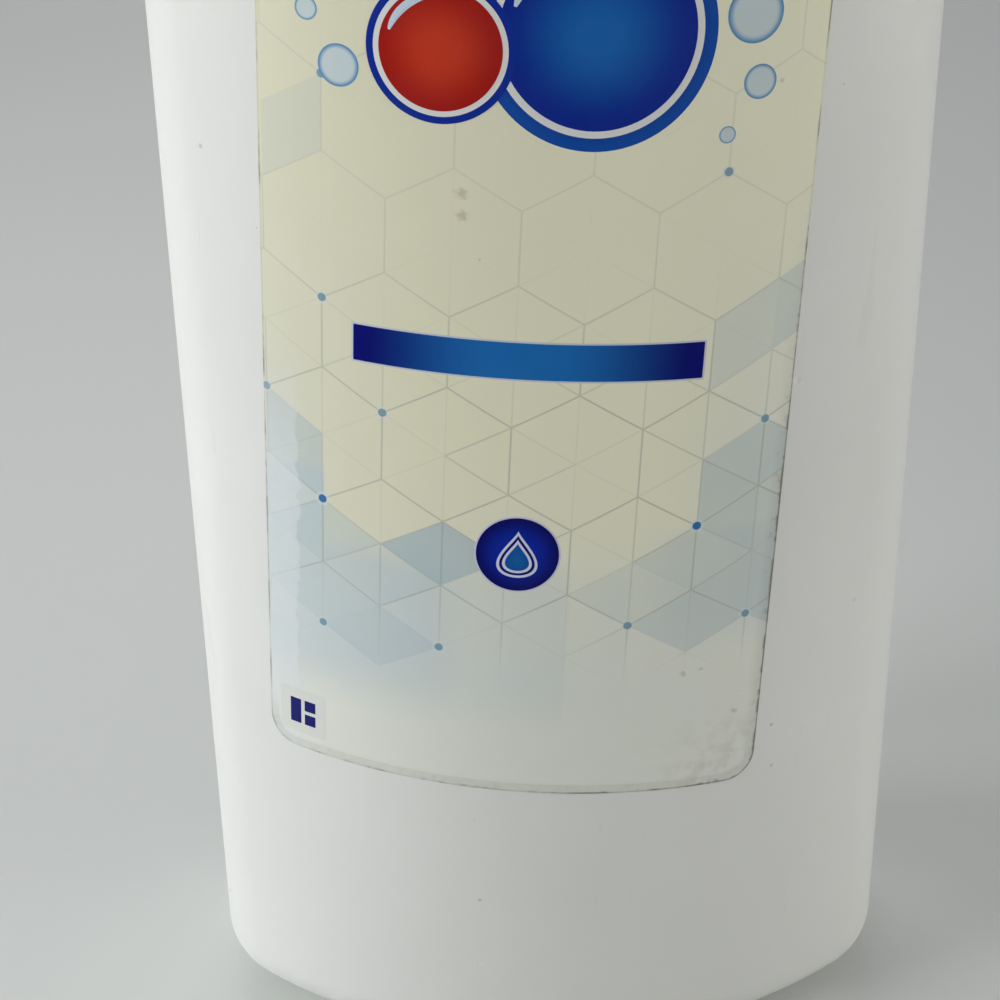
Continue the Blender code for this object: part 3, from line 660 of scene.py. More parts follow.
@dataclass(frozen=True)
class PrintedFilm(Finish):
    """Cream label film with a lattice, tinted cells, node dots, a painted highlight where it
    crinkles, and worn, dirty edges whose dark rim is partly painted edge shadow.
    """

    width: float
    height: float
    corner: float
    lattice_step: float = 9.96
    origin: Point = (-27.5, 42.9)
    cream: Colour = (0.915, 0.90, 0.685)
    aged: Colour = (0.66, 0.645, 0.475)
    pale: Colour = (0.80, 0.825, 0.765)
    tint: Colour = (0.435, 0.56, 0.615)
    wash: Colour = (0.615, 0.705, 0.725)
    line: Colour = (0.40, 0.435, 0.37)
    line_strength: float = 0.62
    dot: Colour = (0.06, 0.24, 0.37)
    strong_dot: Colour = (0.006, 0.16, 0.42)
    halo: Colour = (0.68, 0.78, 0.82)
    dirt: Colour = (0.20, 0.185, 0.15)
    dull: Colour = (0.70, 0.71, 0.64)
    dull_strength: float = 0.03
    crinkled: Colour = (0.78, 0.83, 0.86)
    crinkled_strength: float = 0.60
    smudge: Colour = (0.40, 0.34, 0.24)
    smudge_strength: float = 0.45
    roughness: Range = (0.36, 0.46)
    dirt_roughness: float = 0.30
    crinkle_relief: float = 0.00005
    wave_relief: float = 0.00006
    grain_relief: float = 0.000003
    gloss: float = 0.35
    coat: float = 0.06
    coat_roughness: float = 0.25
    dot_radius: float = 0.068
    dot_blur: float = 0.012
    strong_dots: tuple[tuple[int, int], ...] = ((0, 0), (6, -3))
    dots: tuple[tuple[int, int], ...] = (
        (-1, 2), (1, 1), (0, 3), (0, 6), (6, 2), (7, -2), (5, -4), (7, -5), (0, -2), (2, -3))
    tinted: tuple[tuple[Cell, int, int, float], ...] = (
        (Cell.UPRIGHT_FALLING, -1, 0, 0.55), (Cell.RISING_FALLING, -1, -1, 0.42),
        (Cell.RISING_FALLING, -2, 0, 0.80), (Cell.RISING_FALLING, -2, -1, 0.22),
        (Cell.RISING_FALLING, -2, -2, 0.24), (Cell.RISING_FALLING, -3, -2, 0.34),
        (Cell.UPRIGHT_FALLING, -1, -2, 0.20), (Cell.RISING_FALLING, -4, 1, 0.22),
        (Cell.RISING_FALLING, -3, 4, 0.48), (Cell.UPRIGHT_FALLING, 6, 3, 0.52),
        (Cell.UPRIGHT_RISING, 7, -4, 0.34), (Cell.UPRIGHT_FALLING, 7, 3, 0.42),
        (Cell.RISING_FALLING, -4, 2, 0.34), (Cell.UPRIGHT_RISING, 6, -5, 0.42),
        (Cell.UPRIGHT_FALLING, 7, 2, 0.45), (Cell.RISING_FALLING, -5, 1, 0.40),
        (Cell.UPRIGHT_RISING, 7, -1, 0.40), (Cell.UPRIGHT_RISING, 6, -1, 0.30),
        (Cell.UPRIGHT_RISING, -1, 5, 0.22))
    smudges: tuple[Place, ...] = (
        (-9.2, 89.6, 1.2), (-9.0, 86.6, 1.1), (-6.6, 81.0, 0.3), (24.2, 19.4, 0.8),
        (26.9, 19.9, 0.45), (32.6, 12.0, 0.8), (30.4, 104.0, 0.5), (33.0, 15.3, 0.2))
    pale_foot: Region = (Fade(Way.UP, 56.0, 14.0),)
    pale_sides: Region = (Fade(Way.ASIDE, 12.0, 38.0), Fade(Way.UP, 100.0, 50.0, 0.10, 0.85))
    aged_left: Region = (Fade(Way.ACROSS, 18.0, -34.0), Fade(Way.UP, 18.0, 44.0))
    wash_column: Region = (Fade(Way.ACROSS, -26.9, -27.5), Fade(Way.UP, 49.0, 46.0))
    wash_low: Region = (
        Fade(Way.UP, 39.0, 33.0), Fade(Way.ACROSS, 16.6, 15.8), Fade(Way.ACROSS, -5.0, -13.0, 0.48),
        Fade(Way.ACROSS, 7.8, 7.0, 0.3))
    wash_foot: Region = (Fade(Way.UP, 8.0, 19.0),)
    wash_right: Region = (
        Fade(Way.ACROSS, 15.0, 26.0), Fade(Way.UP, 44.0, 40.0), Fade(Way.UP, 21.0, 29.0))
    spokes: Region = (Fade(Way.UP, 84.0, 58.0, 0.12, 0.75),)
    lines_shown: Region = (Fade(Way.UP, 17.0, 34.0), Fade(Way.UP, 92.0, 54.0, 0.34, 0.95))
    rim_depth: Range = (0.34, 0.10)
    rim_runs: Noise = (0.13, 3.0, 0.42, 0.60)
    spots: tuple[tuple[Range, Noise, float], ...] = (
        ((0.60, 0.05), (0.40, 5.0, 0.50, 0.64), 0.75), ((2.2, 0.2), (0.6, 6.0, 0.55, 0.72), 0.30))
    corner_spots: Noise = (0.45, 6.0, 0.42, 0.68)
    corner_strength: float = 0.22
    margin_depth: Range = (2.4, 0.2)
    margin_strength: float = 0.16
    clear_depth: Range = (1.60, 1.35)
    most_dirt: float = 0.92
    worse_side: Region = (Fade(Way.ACROSS, 8.0, 36.0), Fade(Way.UP, 104.0, 40.0))
    clean_foot: Region = (Fade(Way.ACROSS, 6.0, -14.0), Fade(Way.UP, 14.0, 6.0))
    dirty_foot: Region = (Fade(Way.UP, 7.0, 0.0),)
    clear_foot: Region = (Fade(Way.UP, 9.0, 3.0),)
    dirty_corner: Region = (Fade(Way.ACROSS, 16.0, 36.0), Fade(Way.UP, 16.0, 1.0))
    crinkled_height: Region = (Fade(Way.UP, 66.0, 46.0),)
    crinkled_edge: float = 29.9

    def surface(self, wires: Wiring) -> Feeds:
        """Wire the film.

        Args:
            wires: wiring of the material.

        Returns:
            What goes into the shader, by the input's name.
        """
        field = LabelField(wires)
        edge, crinkle = self.edge_dirt(field), self.crinkle(field)
        grain = wires.group(build_mould_grain, Vector=wires.place(), Scale=2600.0)
        colour = self.lattice(field, self.ground(field))
        colour = wires.laid(colour, self.dull, grain["Tone"], self.dull_strength)
        # Painted highlight: a pale bluish tone over the strip where the film crinkles.
        colour = wires.laid(colour, self.crinkled, crinkle, self.crinkled_strength)
        colour = wires.laid(colour, self.smudge, self.stains(field), self.smudge_strength)
        rough = field.varied(*self.roughness)
        folds = wires.times(crinkle, wires.noise(field.place, 0.9, 3.0))
        waves = wires.noise(field.place, 0.22, 1.0)
        normal = wires.relief(folds, self.crinkle_relief)
        normal = wires.relief(waves, self.wave_relief, over=normal)
        return {
            # Dark edge marks: grime, and in the film's rim a painted edge shadow as well.
            "Base Color": wires.laid(colour, self.dirt, edge),
            "Roughness": wires.math("MULTIPLY_ADD", edge, self.dirt_roughness, rough),
            "Normal": wires.relief(grain["Height"], self.grain_relief, over=normal),
            "Specular IOR Level": self.gloss, "Coat Weight": self.coat,
            "Coat Roughness": self.coat_roughness}

    def ground(self, field: LabelField) -> Socket:
        """Colour the film itself.

        It is cream at the top, darker to the left above its foot, and paler and cooler
        towards its foot and sides, with the bluish wash over that.

        Args:
            field: values over the label.

        Returns:
            The colour.
        """
        wires = field.wires
        paler = wires.most(field.share(self.pale_foot), field.share(self.pale_sides))
        colour = wires.laid(self.cream, self.pale, paler, field.varied(0.80, 1.10))
        colour = wires.laid(colour, self.aged, field.share(self.aged_left), 0.5)
        return wires.laid(colour, self.wash, self.haze(field), field.varied(0.62, 0.98))

    def haze(self, field: LabelField) -> Socket:
        """Share of the bluish wash at the lower left of the lattice and at its right side.

        On the left it fills the first column of the lattice up to the first tinted cell, then
        the part under the zigzag of the cells, and it is weaker past each of two columns.

        Args:
            field: values over the label.

        Returns:
            The share.
        """
        wires = field.wires
        left = wires.most(field.share(self.wash_column), field.share(self.wash_low))
        left = wires.times(left, field.share(self.wash_foot))
        return wires.most(left, wires.times(field.share(self.wash_right), 0.55))

    def lattice(self, field: LabelField, colour: Feed) -> Socket:
        """Lay the tinted cells, the lines and the dots of the lattice over a colour.

        Args:
            field: values over the label.
            colour: colour of the film.

        Returns:
            The new colour.
        """
        wires = field.wires
        columns, steps = (
            wires.math("DIVIDE", wires.math("SUBTRACT", value, start), self.lattice_step * pitch)
            for value, start, pitch in zip(
                (field.across, field.up), self.origin, (COLUMN_PITCH, 1.0)))
        rise = wires.math("MULTIPLY_ADD", columns, -0.5, steps)
        net = wires.group(
            build_lattice_print, Vector=wires.join(columns, rise), Spokes=field.share(self.spokes))
        cells = [
            wires.times(wires.equals(net[kind.value], first, second), strength)
            for kind, first, second, strength in self.tinted]
        colour = wires.laid(colour, self.tint, wires.most(0.0, *cells), field.varied(0.75, 1.15))
        shown = wires.times(field.share(self.lines_shown), field.varied(0.70, 1.20))
        colour = wires.laid(colour, self.line, net["Lines"], shown, self.line_strength)
        for ring, share, tone, nodes in (
                (1.7, 0.45, self.halo, self.strong_dots),
                (1.0, 1.0, self.strong_dot, self.strong_dots),
                (1.40, 0.35, self.halo, self.dots), (0.96, 0.76, self.dot, self.dots)):
            radius = self.dot_radius * ring
            inside = wires.step(net["Node Distance"], radius, radius - self.dot_blur)
            chosen = wires.most(0.0, *(wires.equals(net["Node"], *node) for node in nodes))
            colour = wires.laid(colour, tone, inside, chosen, share)
        return colour

    def from_edge(self, field: LabelField) -> Socket:
        """Measure how far a place lies inside the film's edge.

        The distance from the edge is that of a rectangle with round corners: the length of
        what lies past the corner's centre, less the corner's radius.

        Args:
            field: values over the label.

        Returns:
            The distance in millimetres.
        """
        wires, half = field.wires, (self.width / 2.0, self.height / 2.0)
        beyond = []
        for value, centre, size in ((field.across, 0.0, half[0]), (field.up, half[1], half[1])):
            off = wires.math("ABSOLUTE", wires.math("SUBTRACT", value, centre))
            beyond.append(wires.math("SUBTRACT", off, size - self.corner))
        outside = wires.join(*[wires.most(value, 0.0) for value in beyond])
        inside = wires.math("MINIMUM", wires.most(*beyond), 0.0)
        past = wires.math("ADD", wires.vector("LENGTH", outside, output=1), inside)
        return wires.math("SUBTRACT", self.corner, past)

    def edge_dirt(self, field: LabelField) -> Socket:
        """Mask the grime along the film's edge, with a painted edge shadow in its rim.

        A thin dark rim runs all round, part adhesive grime and part painted edge shadow, weaker at
        the left of the foot. Broken spots and blotches lie behind it on the right side and at the
        foot, over a dull margin, and the lower right corner is dirty.

        Args:
            field: values over the label.

        Returns:
            The mask.
        """
        wires, edge, worse = field.wires, self.from_edge(field), field.share(self.worse_side)
        # The rim is part adhesive grime and part painted edge shadow, fuller on the right side and
        # most of all low down.
        runs = wires.most(field.ragged(*self.rim_runs), wires.times(worse, 0.6))
        clean = wires.scaled(field.share(self.clean_foot), 1.0, 0.35)
        dirt = wires.times(wires.step(edge, *self.rim_depth), wires.scaled(runs, 0.16, 0.80), clean)
        share = wires.most(worse, wires.times(field.share(self.dirty_foot), 0.45))
        for depth, noise, strength in self.spots:
            mask = wires.times(wires.step(edge, *depth), field.ragged(*noise), share)
            dirt = wires.math("MULTIPLY_ADD", mask, strength, dirt)
        corner = wires.times(field.share(self.dirty_corner), field.ragged(*self.corner_spots))
        dirt = wires.math("MULTIPLY_ADD", corner, self.corner_strength, dirt)
        margin = wires.times(
            wires.step(edge, *self.margin_depth), wires.times(share, self.margin_strength))
        clear = wires.times(
            wires.step(edge, *self.clear_depth), field.share(self.clear_foot),
            wires.scaled(wires.noise(field.place, 0.7, 5.0), 0.04, 0.26))
        dirt = wires.math("ADD", dirt, wires.most(margin, clear))
        return wires.math("MINIMUM", dirt, self.most_dirt)

    def crinkle(self, field: LabelField) -> Socket:
        """Mask the strip along the film's left side where it crinkles, whose inner edge wanders. It
        gives the strip its folds and a painted highlight.

        Args:
            field: values over the label.

        Returns:
            The mask.
        """
        wires = field.wires
        inward = wires.math("ADD", field.across, self.crinkled_edge)
        wander = wires.math("MULTIPLY_ADD", wires.noise(field.place, 0.28, 3.0), 3.4, inward)
        return wires.times(
            wires.step(wander, 0.45, 0.0), field.share(self.crinkled_height),
            wires.scaled(wires.noise(field.place, 0.5, 3.0), 0.55, 1.15))

    def stains(self, field: LabelField) -> Socket:
        """Mask the small smudges, each a spot whose rim is broken up by noise.

        Args:
            field: values over the label.

        Returns:
            The mask.
        """
        wires, spots = field.wires, [0.0]
        ragged = wires.noise(field.place, 1.4, 4.0)
        for across, up, radius in self.smudges:
            away = wires.vector("DISTANCE", field.place, (across, up, 0.0), output=1)
            away = wires.math("MULTIPLY_ADD", ragged, 1.6 * radius, away)
            spots.append(wires.step(away, 1.7 * radius, 0.9 * radius))
        return wires.most(*spots)


def grid_quads(rows: int, columns: int, ring_rows: bool) -> Array:
    """Number the corners of the quads of a grid of points whose rows are closed rings.

    Args:
        rows: rows of points.
        columns: points in each row.
        ring_rows: whether the last row joins the first.

    Returns:
        An array of four point numbers for each quad.
    """
    row = np.arange(rows if ring_rows else rows - 1)[:, None]
    column = np.arange(columns)[None, :]
    above, beside = (row + 1) % rows * columns, (column + 1) % columns
    row = row * columns
    corners = (row + column, row + beside, above + beside, above + column)
    return np.stack(np.broadcast_arrays(*corners), axis=-1).reshape(-1, 4)


def linked(name: str, data: bpy.types.ID) -> Piece:
    """Put some data into the scene.

    Args:
        name: name of the object.
        data: the mesh, camera or light.

    Returns:
        The new object that shows it.
    """
    item = bpy.data.objects.new(name, data)
    bpy.context.scene.collection.objects.link(item)
    return item


class Shell:
    """Gathers grids of points, in millimetres, into one mesh."""

    def __init__(self) -> None:
        """Start with no points."""
        self.points: list[Array] = []
        self.quads: list[Array] = []
        self.marks: list[Array] = []

    def add(self, grid: Array, ring_rows: bool = False, marks: Array | None = None) -> "Shell":
        """Add a grid whose rows are closed rings.

        Args:
            grid: points as rows, columns and X, Y, Z.
            ring_rows: whether the last row joins the first.
            marks: vector of each point for the piece's attribute.

        Returns:
            This shell.
        """
        start = sum(len(points) for points in self.points)
        self.points.append(grid.reshape(-1, 3))
        self.quads.append(grid_quads(*grid.shape[:2], ring_rows) + start)
        self.marks.append(np.zeros_like(self.points[-1]) if marks is None else marks.reshape(-1, 3))
        return self

    def build(self, name: str, attribute: str = "", merge: float = 0.000002) -> Piece:
        """Make the object: merge poles and seams, then turn every face outwards.

        Args:
            name: name of the piece.
            attribute: name of the vector attribute that holds the marks, if there is one.
            merge: distance in metres within which points become one.

        Returns:
            The new object, linked to the scene.
        """
        mesh = bpy.data.meshes.new(name)
        points, quads = np.concatenate(self.points) * MM, np.concatenate(self.quads)
        mesh.from_pydata(points.tolist(), [], quads.tolist())
        if attribute:
            layer = mesh.attributes.new(attribute, "FLOAT_VECTOR", "POINT")
            layer.data.foreach_set("vector", np.concatenate(self.marks).astype(np.float32).ravel())
        shape = bmesh.new()
        shape.from_mesh(mesh)
        bmesh.ops.remove_doubles(shape, verts=shape.verts, dist=merge)
        bmesh.ops.recalc_face_normals(shape, faces=shape.faces)
        shape.to_mesh(mesh)
        shape.free()
        mesh.shade_smooth()
        mesh.set_sharp_from_angle(angle=CREASE)
        return linked(name, mesh)


def softened(profile: list[Point], radius: float, closed: bool = True) -> Array:
    """Round the corners of a profile.

    Each corner becomes a quadratic curve between the points that lie radius before and after
    it, or just under half of the shorter side. An open profile keeps its two ends.

    Args:
        profile: points of (radius, height).
        radius: length taken off each side at a corner.
        closed: whether the last point joins the first.

    Returns:
        The rounded profile as an array.
    """
    corner = np.array(profile, float)
    before, after = (np.roll(corner, shift, axis=0) - corner for shift in (1, -1))
    long_before, long_after = (
        np.linalg.norm(side, axis=1, keepdims=True) for side in (before, after))
    taken = np.minimum(radius, 0.45 * np.minimum(long_before, long_after))
    if not closed:
        taken[0] = taken[-1] = 0.0
    first = corner + before / long_before * taken
    last = corner + after / long_after * taken
    share = np.linspace(0.0, 1.0, CORNER_STEPS)[None, :, None]
    curve = (
        (1.0 - share) ** 2 * first[:, None] + 2.0 * (1.0 - share) * share * corner[:, None]
        + share ** 2 * last[:, None])
    return curve.reshape(-1, 2)


def around(steps: int) -> Array:
    """Return the angles of a closed ring of equal steps."""
    return np.linspace(0.0, FULL_TURN, steps, endpoint=False)


def turned(profile: Array, steps: int = 96) -> Array:
    """Turn a profile about Z in equal steps.

    Args:
        profile: points of (radius, height).
        steps: points of each ring.

    Returns:
        The grid, with a ring for each point of the profile.
    """
    angle = around(steps)[None, :]
    radius, height = profile[:, :1], profile[:, 1:]
    return np.stack((radius * np.cos(angle), radius * np.sin(angle), height + 0.0 * angle), axis=-1)


def rings(centre: Array, radius: Array, side: Array, upward: Array, steps: int) -> Array:
    """Lay rings round a line: centre + radius * (side * cos(angle) + upward * sin(angle)).

    Args:
        centre: middle of each ring.
        radius: radius of each ring.
        side: unit vector in each ring's plane.
        upward: unit vector in that plane, square to side.
        steps: points of each ring.

    Returns:
        The grid, with a ring in each row.
    """
    angle = around(steps)[None, :, None]
    ring = np.cos(angle) * side[:, None] + np.sin(angle) * upward[:, None]
    return centre[:, None] + radius[:, None, None] * ring


def helical_ridge(top: float, pitch: float, root: float, crest: float, widths: Range) -> Array:
    """Grid of one turn of a thread's ridge, which goes down clockwise as seen from above.

    The section is a trapezoid between the root radius and the crest radius, and the crest
    sinks back to the root over the run-out angle at both ends.

    Args:
        top: height of the ridge's middle where it starts, at +X.
        pitch: fall in the turn.
        root: radius of the ridge's foot.
        crest: radius of its crest, above or below the root.
        widths: widths at the root and at the crest.

    Returns:
        The grid, with a section in each row.
    """
    angle = np.linspace(0.0, FULL_TURN, THREAD_STEPS)
    share = np.clip(np.minimum(angle, angle[-1] - angle) / THREAD_RUN_OUT, 0.0, 1.0)
    reach = root + (crest - root) * np.sin(share * QUARTER_TURN)
    half_root, half_crest = (width / 2.0 * np.minimum(1.0, share * 6.0 + 0.02) for width in widths)
    foot = np.full(THREAD_STEPS, root)
    radii = np.stack((foot, reach, reach, foot), axis=1)
    middle = top - pitch * angle / FULL_TURN
    heights = middle[:, None] + np.stack((half_root, half_crest, -half_crest, -half_root), axis=1)
    turn = -angle[:, None]
    grid = np.stack((radii * np.cos(turn), radii * np.sin(turn), heights), axis=-1)
    ends = [np.repeat(grid[i].mean(axis=0, keepdims=True), 4, axis=0)[None] for i in (0, -1)]
    return np.concatenate((ends[0], grid, ends[1]))


def settle(item: Piece) -> None:
    """Replace an object's mesh by what its modifiers make of it.

    Args:
        item: the object, which keeps no modifier.
    """
    evaluated = item.evaluated_get(bpy.context.evaluated_depsgraph_get())
    mesh = bpy.data.meshes.new_from_object(evaluated)
    item.modifiers.clear()
    item.data = mesh


def place_piece(item: Piece, finish: Finish, body: Body, slot: Slot, *nodes: str) -> Piece:
    """Dress a piece, let it ride on its body and let it stand for the CAD nodes it replaces.

    Args:
        item: the piece.
        finish: its finish.
        body: body that carries it.
        slot: slot of the record that goes with the piece; not used.
        *nodes: CAD nodes that it replaces.

    Returns:
        The piece.
    """
    item.data.materials.clear()
    item.data.materials.append(finish.material())
    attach(item, body.value)
    if nodes:
        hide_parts(*nodes)
    return item


def dress_node(name: str, finish: Finish) -> Piece:
    """Give a CAD node that stays in view its material.

    Args:
        name: the node.
        finish: its finish.

    Returns:
        The node's object.
    """
    item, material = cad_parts[name], finish.material()
    for entry in item.material_slots:
        entry.material = material
    return item


@dataclass
class BottleForm:
    """Section and side of the blown bottle, which the labels share."""

    width: float = 104.4
    depth: float = 72.5
    corner: float = 16.0
    side_flat: float = 15.0
    wall: float = 1.2
    heel: float = 9.0
    foot: float = 4.5
    push_up: float = 3.0
    straight_top: float = 194.0
    shoulder_rise: float = 24.0
    early_up: float = 0.52
    late_up: float = 0.90
    late_in: float = 0.50
    neck_top: float = 233.0
    neck_radius: float = 15.2
    neck_bore: float = 12.9
    rim_round: float = 0.4
    face_share: float = 0.5
    flat_share: float = 1.0 / 14.0

    def __post_init__(self) -> None:
        """Work out the face's radius and the angle at which it meets the corner."""
        self.across = self.width / 2.0 - self.corner
        back = (self.depth - self.side_flat) / 2.0
        self.face = (self.across ** 2 + back ** 2 - self.corner ** 2) / (2.0 * (back - self.corner))
        self.split = math.asin(self.across / (self.face - self.corner))

    def quarter(self, inset: Array, share: Array) -> Pair:
        """Run along the section's quarter from the front's middle (0) to the +X side (1).

        The face is an arc, the corner is an arc that meets it without a kink, and the side
        is flat.

        Args:
            inset: distance in from the outer wall.
            share: how far along the quarter.

        Returns:
            The X and the Y of each point.
        """
        corner_share = 1.0 - self.face_share - self.flat_share
        on_face = self.split * np.minimum(share / self.face_share, 1.0)
        on_corner = self.split + (QUARTER_TURN - self.split) * np.clip(
            (share - self.face_share) / corner_share, 0.0, 1.0)
        on_flat = np.clip((share - 1.0 + self.flat_share) / self.flat_share, 0.0, 1.0)
        reach, bend = self.face - inset, self.corner - inset
        face_x = reach * np.sin(on_face)
        face_y = self.face - self.depth / 2.0 - reach * np.cos(on_face)
        corner_x = self.across + bend * np.sin(on_corner)
        corner_y = -self.side_flat / 2.0 * (1.0 - on_flat) - bend * np.cos(on_corner)
        past = share > self.face_share
        return np.where(past, corner_x, face_x), np.where(past, corner_y, face_y)

    def wall_point(self, along: Array, offset: Array, facing: float) -> Pair:
        """Find the point at a developed distance from a face's middle, on its arc or its corner's.

        Args:
            along: distance to the right along the wall.
            offset: height above the wall.
            facing: 1 for the front and -1 for the back.

        Returns:
            The X and the Y of each point.
        """
        run = np.abs(along)
        face_run = self.face * self.split
        angle = run / self.face
        turn = self.split + (run - face_run) / self.corner
        near_x = (self.face + offset) * np.sin(angle)
        near_y = self.face - self.depth / 2.0 - (self.face + offset) * np.cos(angle)
        far_x = self.across + (self.corner + offset) * np.sin(turn)
        far_y = -self.side_flat / 2.0 - (self.corner + offset) * np.cos(turn)
        x = np.where(run <= face_run, near_x, far_x)
        y = np.where(run <= face_run, near_y, far_y)
        return np.sign(along) * x * facing, y * facing


@dataclass
class BlownBottle:
    """White blown bottle: base, body, shoulder and threaded neck in one piece."""

    form: BottleForm
    thread_drop: float = 4.0
    thread_pitch: float = 4.2
    thread_depth: float = 1.2
    thread_sink: float = 0.6
    thread_widths: Range = (2.8, 1.0)
    parting: float = 0.10
    parting_width: float = 0.28
    parting_spread: float = 6.0
    unevenness: float = 0.035
    face_steps: int = 34
    corner_steps: int = 22
    base_steps: int = 8
    foot_steps: int = 10
    bend_steps: int = 14
    wall_steps: int = 24
    shoulder_steps: int = 44
    finish: Plastic = Plastic(
        "blown_white", (0.82, 0.83, 0.805), (0.795, 0.805, 0.78), roughness=(0.33, 0.42),
        grain=700.0, relief=0.000018, specks=0.9, nicks=0.8, scuffs=0.22, dust=0.04, milky=0.10)

    def shares(self) -> Array:
        """Place the columns along a quarter, crowded around the parting line.

        Returns:
            Shares of the quarter, from the front's middle to near the side.
        """
        form = self.form
        face = np.linspace(0.0, form.face_share, self.face_steps, endpoint=False)
        corner = np.linspace(
            form.face_share, 1.0 - form.flat_share, self.corner_steps, endpoint=False)
        flat = 1.0 - form.flat_share * np.array((1.0, 0.6, 0.25, 0.09, 0.045, 0.02))
        return np.concatenate((face, corner, flat))

    def ring(self, inset: Array, roundness: Array, neck: float, scale: Array) -> Pair:
        """Lay whole sections, one for each row, blended towards a circle by roundness.

        Args:
            inset: distance in from the outer wall.
            roundness: 0 for the body's section and 1 for the neck's circle.
            neck: radius of the circle.
            scale: size of the body's section.

        Returns:
            The X and the Y of each point.
        """
        quarter = self.shares()
        mirrored = np.append(1.0, quarter[:0:-1])
        columns = np.concatenate((quarter, mirrored, quarter, mirrored))[None, :]
        side = np.repeat((1.0, 1.0, -1.0, -1.0), len(quarter))
        front = np.repeat((1.0, -1.0, -1.0, 1.0), len(quarter))
        inset, roundness, scale = inset[:, None], roundness[:, None], scale[:, None]
        x, y = self.form.quarter(inset, columns)
        angle = columns * QUARTER_TURN
        x = x * scale * (1.0 - roundness) + neck * np.sin(angle) * roundness
        y = y * scale * (1.0 - roundness) - neck * np.cos(angle) * roundness
        return x * side, y * front

    def side(self, inset: float, neck: float, rim_round: float) -> Array:
        """Grid of one side of the wall, from the base's middle up to the neck's rim.

        The base is level in the middle, falls to the foot over a smooth step and rises in a
        round heel. The shoulder follows a cubic curve with its two inner points at early_up
        and at (late_in, late_up).

        Args:
            inset: distance in from the outer wall.
            neck: radius of the neck.
            rim_round: how far the rim bends in, or out if negative.

        Returns:
            The grid, with a section in each row.
        """
        form = self.form
        land = 1.0 - 2.0 * form.foot / form.depth
        slope = land - 2.0 * form.push_up / form.depth
        scale = np.concatenate((
            np.linspace(0.0, slope, self.base_steps), np.linspace(slope, land, self.foot_steps)[1:],
            (0.5 + land / 2.0,)))
        fall = np.clip((scale - slope) / (land - slope), 0.0, 1.0)
        floor = inset + form.push_up * (1.0 - fall ** 2 * (3.0 - 2.0 * fall))
        turn = np.linspace(0.0, QUARTER_TURN, self.bend_steps)
        heel = form.heel - inset
        straight = np.linspace(form.heel, form.straight_top, self.wall_steps)[1:-1]
        share = np.linspace(0.0, 1.0, self.shoulder_steps)
        late = 3.0 * (1.0 - share) * share ** 2
        inward = late * form.late_in + share ** 3
        upward = 3.0 * (1.0 - share) ** 2 * share * form.early_up + late * form.late_up + share ** 3
        shoulder = form.straight_top + (form.shoulder_rise - inset) * upward
        neck_rise = np.linspace(shoulder[-1], form.neck_top - abs(rim_round), self.bend_steps)[1:]
        above = len(straight) + len(share) + len(neck_rise)
        insets = np.concatenate((
            np.full(len(scale), form.heel), inset + heel * (1.0 - np.sin(turn)),
            np.full(above, inset)))
        heights = np.concatenate((
            floor, inset + heel * (1.0 - np.cos(turn)), straight, shoulder, neck_rise))
        body = len(scale) + len(turn) + len(straight)
        roundness = np.concatenate((np.zeros(body), inward, np.ones(len(neck_rise))))
        scales = np.concatenate((scale, np.ones(len(heights) - len(scale))))
        x, y = self.ring(insets, roundness, neck, scales)
        grid = np.stack((x, y, heights[:, None] + 0.0 * x), axis=-1)
        bent = (neck - rim_round) / neck
        rim = grid[-1:] * np.array((bent, bent, 0.0))
        rim[..., 2] = form.neck_top
        return np.concatenate((grid, rim))

    def parted(self, grid: Array) -> Array:
        """Raise the mould's parting line in the plane Y = 0, on the sides and under the base.

        The ridge is a narrow bell curve. A wider one of the same height is taken off the
        sides, so that the ridge's crest keeps the bottle's width.

        Args:
            grid: the outer wall.

        Returns:
            The wall with its ridge.
        """
        x, y, z = np.moveaxis(grid, -1, 0)
        ridge = self.parting * np.exp(-((y / self.parting_width) ** 2))
        sunk = self.parting * np.exp(-((y / self.parting_spread) ** 2))
        grid = grid.copy()
        below = z < self.form.heel * 0.3
        grid[..., 0] += np.where(below, 0.0, np.sign(x) * (ridge - sunk))
        outer = np.hypot(x, y) > 1.0
        grid[..., 2] -= np.where(below & outer & (z > 0.5), 2.0 * ridge, 0.0)
        return grid

    def uneven(self, grid: Array) -> Array:
        """Let the tall faces wander by a few hundredths of a millimetre, as a blown wall does.

        Two crossed sine waves are added to Y, and fade out near the base, the shoulder and
        the sides.

        Args:
            grid: the outer wall.

        Returns:
            The wandering wall.
        """
        x, y, z = np.moveaxis(grid, -1, 0)
        past_top = self.form.straight_top + 6.0 - z
        tall = np.clip((z - 20.0) / 30.0, 0.0, 1.0) * np.clip(past_top / 20.0, 0.0, 1.0)
        wave = np.sin(z / 23.0 + 0.9) * np.cos(x / 17.0 + 0.4) + 0.6 * np.sin(z / 9.5 + x / 13.0)
        wide = np.clip(np.abs(y) / 20.0, 0.0, 1.0)
        grid = grid.copy()
        grid[..., 1] += np.sign(y) * self.unevenness * tall * wave * wide
        return grid

    def build(self) -> list[Piece]:
        """Build the bottle.

        Returns:
            The one piece.
        """
        form = self.form
        outer = self.uneven(self.parted(self.side(0.0, form.neck_radius, form.rim_round)))
        inner = self.side(form.wall, form.neck_bore, -form.rim_round)
        ridge = helical_ridge(
            form.neck_top - self.thread_drop, self.thread_pitch,
            form.neck_radius - self.thread_sink, form.neck_radius + self.thread_depth,
            self.thread_widths)
        bottle = Shell().add(np.concatenate((outer, inner[::-1]))).add(ridge).build("soap_bottle")
        return [place_piece(bottle, self.finish, Body.BOTTLE, Slot.BOTTLE, "bottle")]


@dataclass
class Figure:
    """Printed figure: its name, its ink and its patches of that ink."""

    name: str
    ink: Ink
    patches: list[Patch]


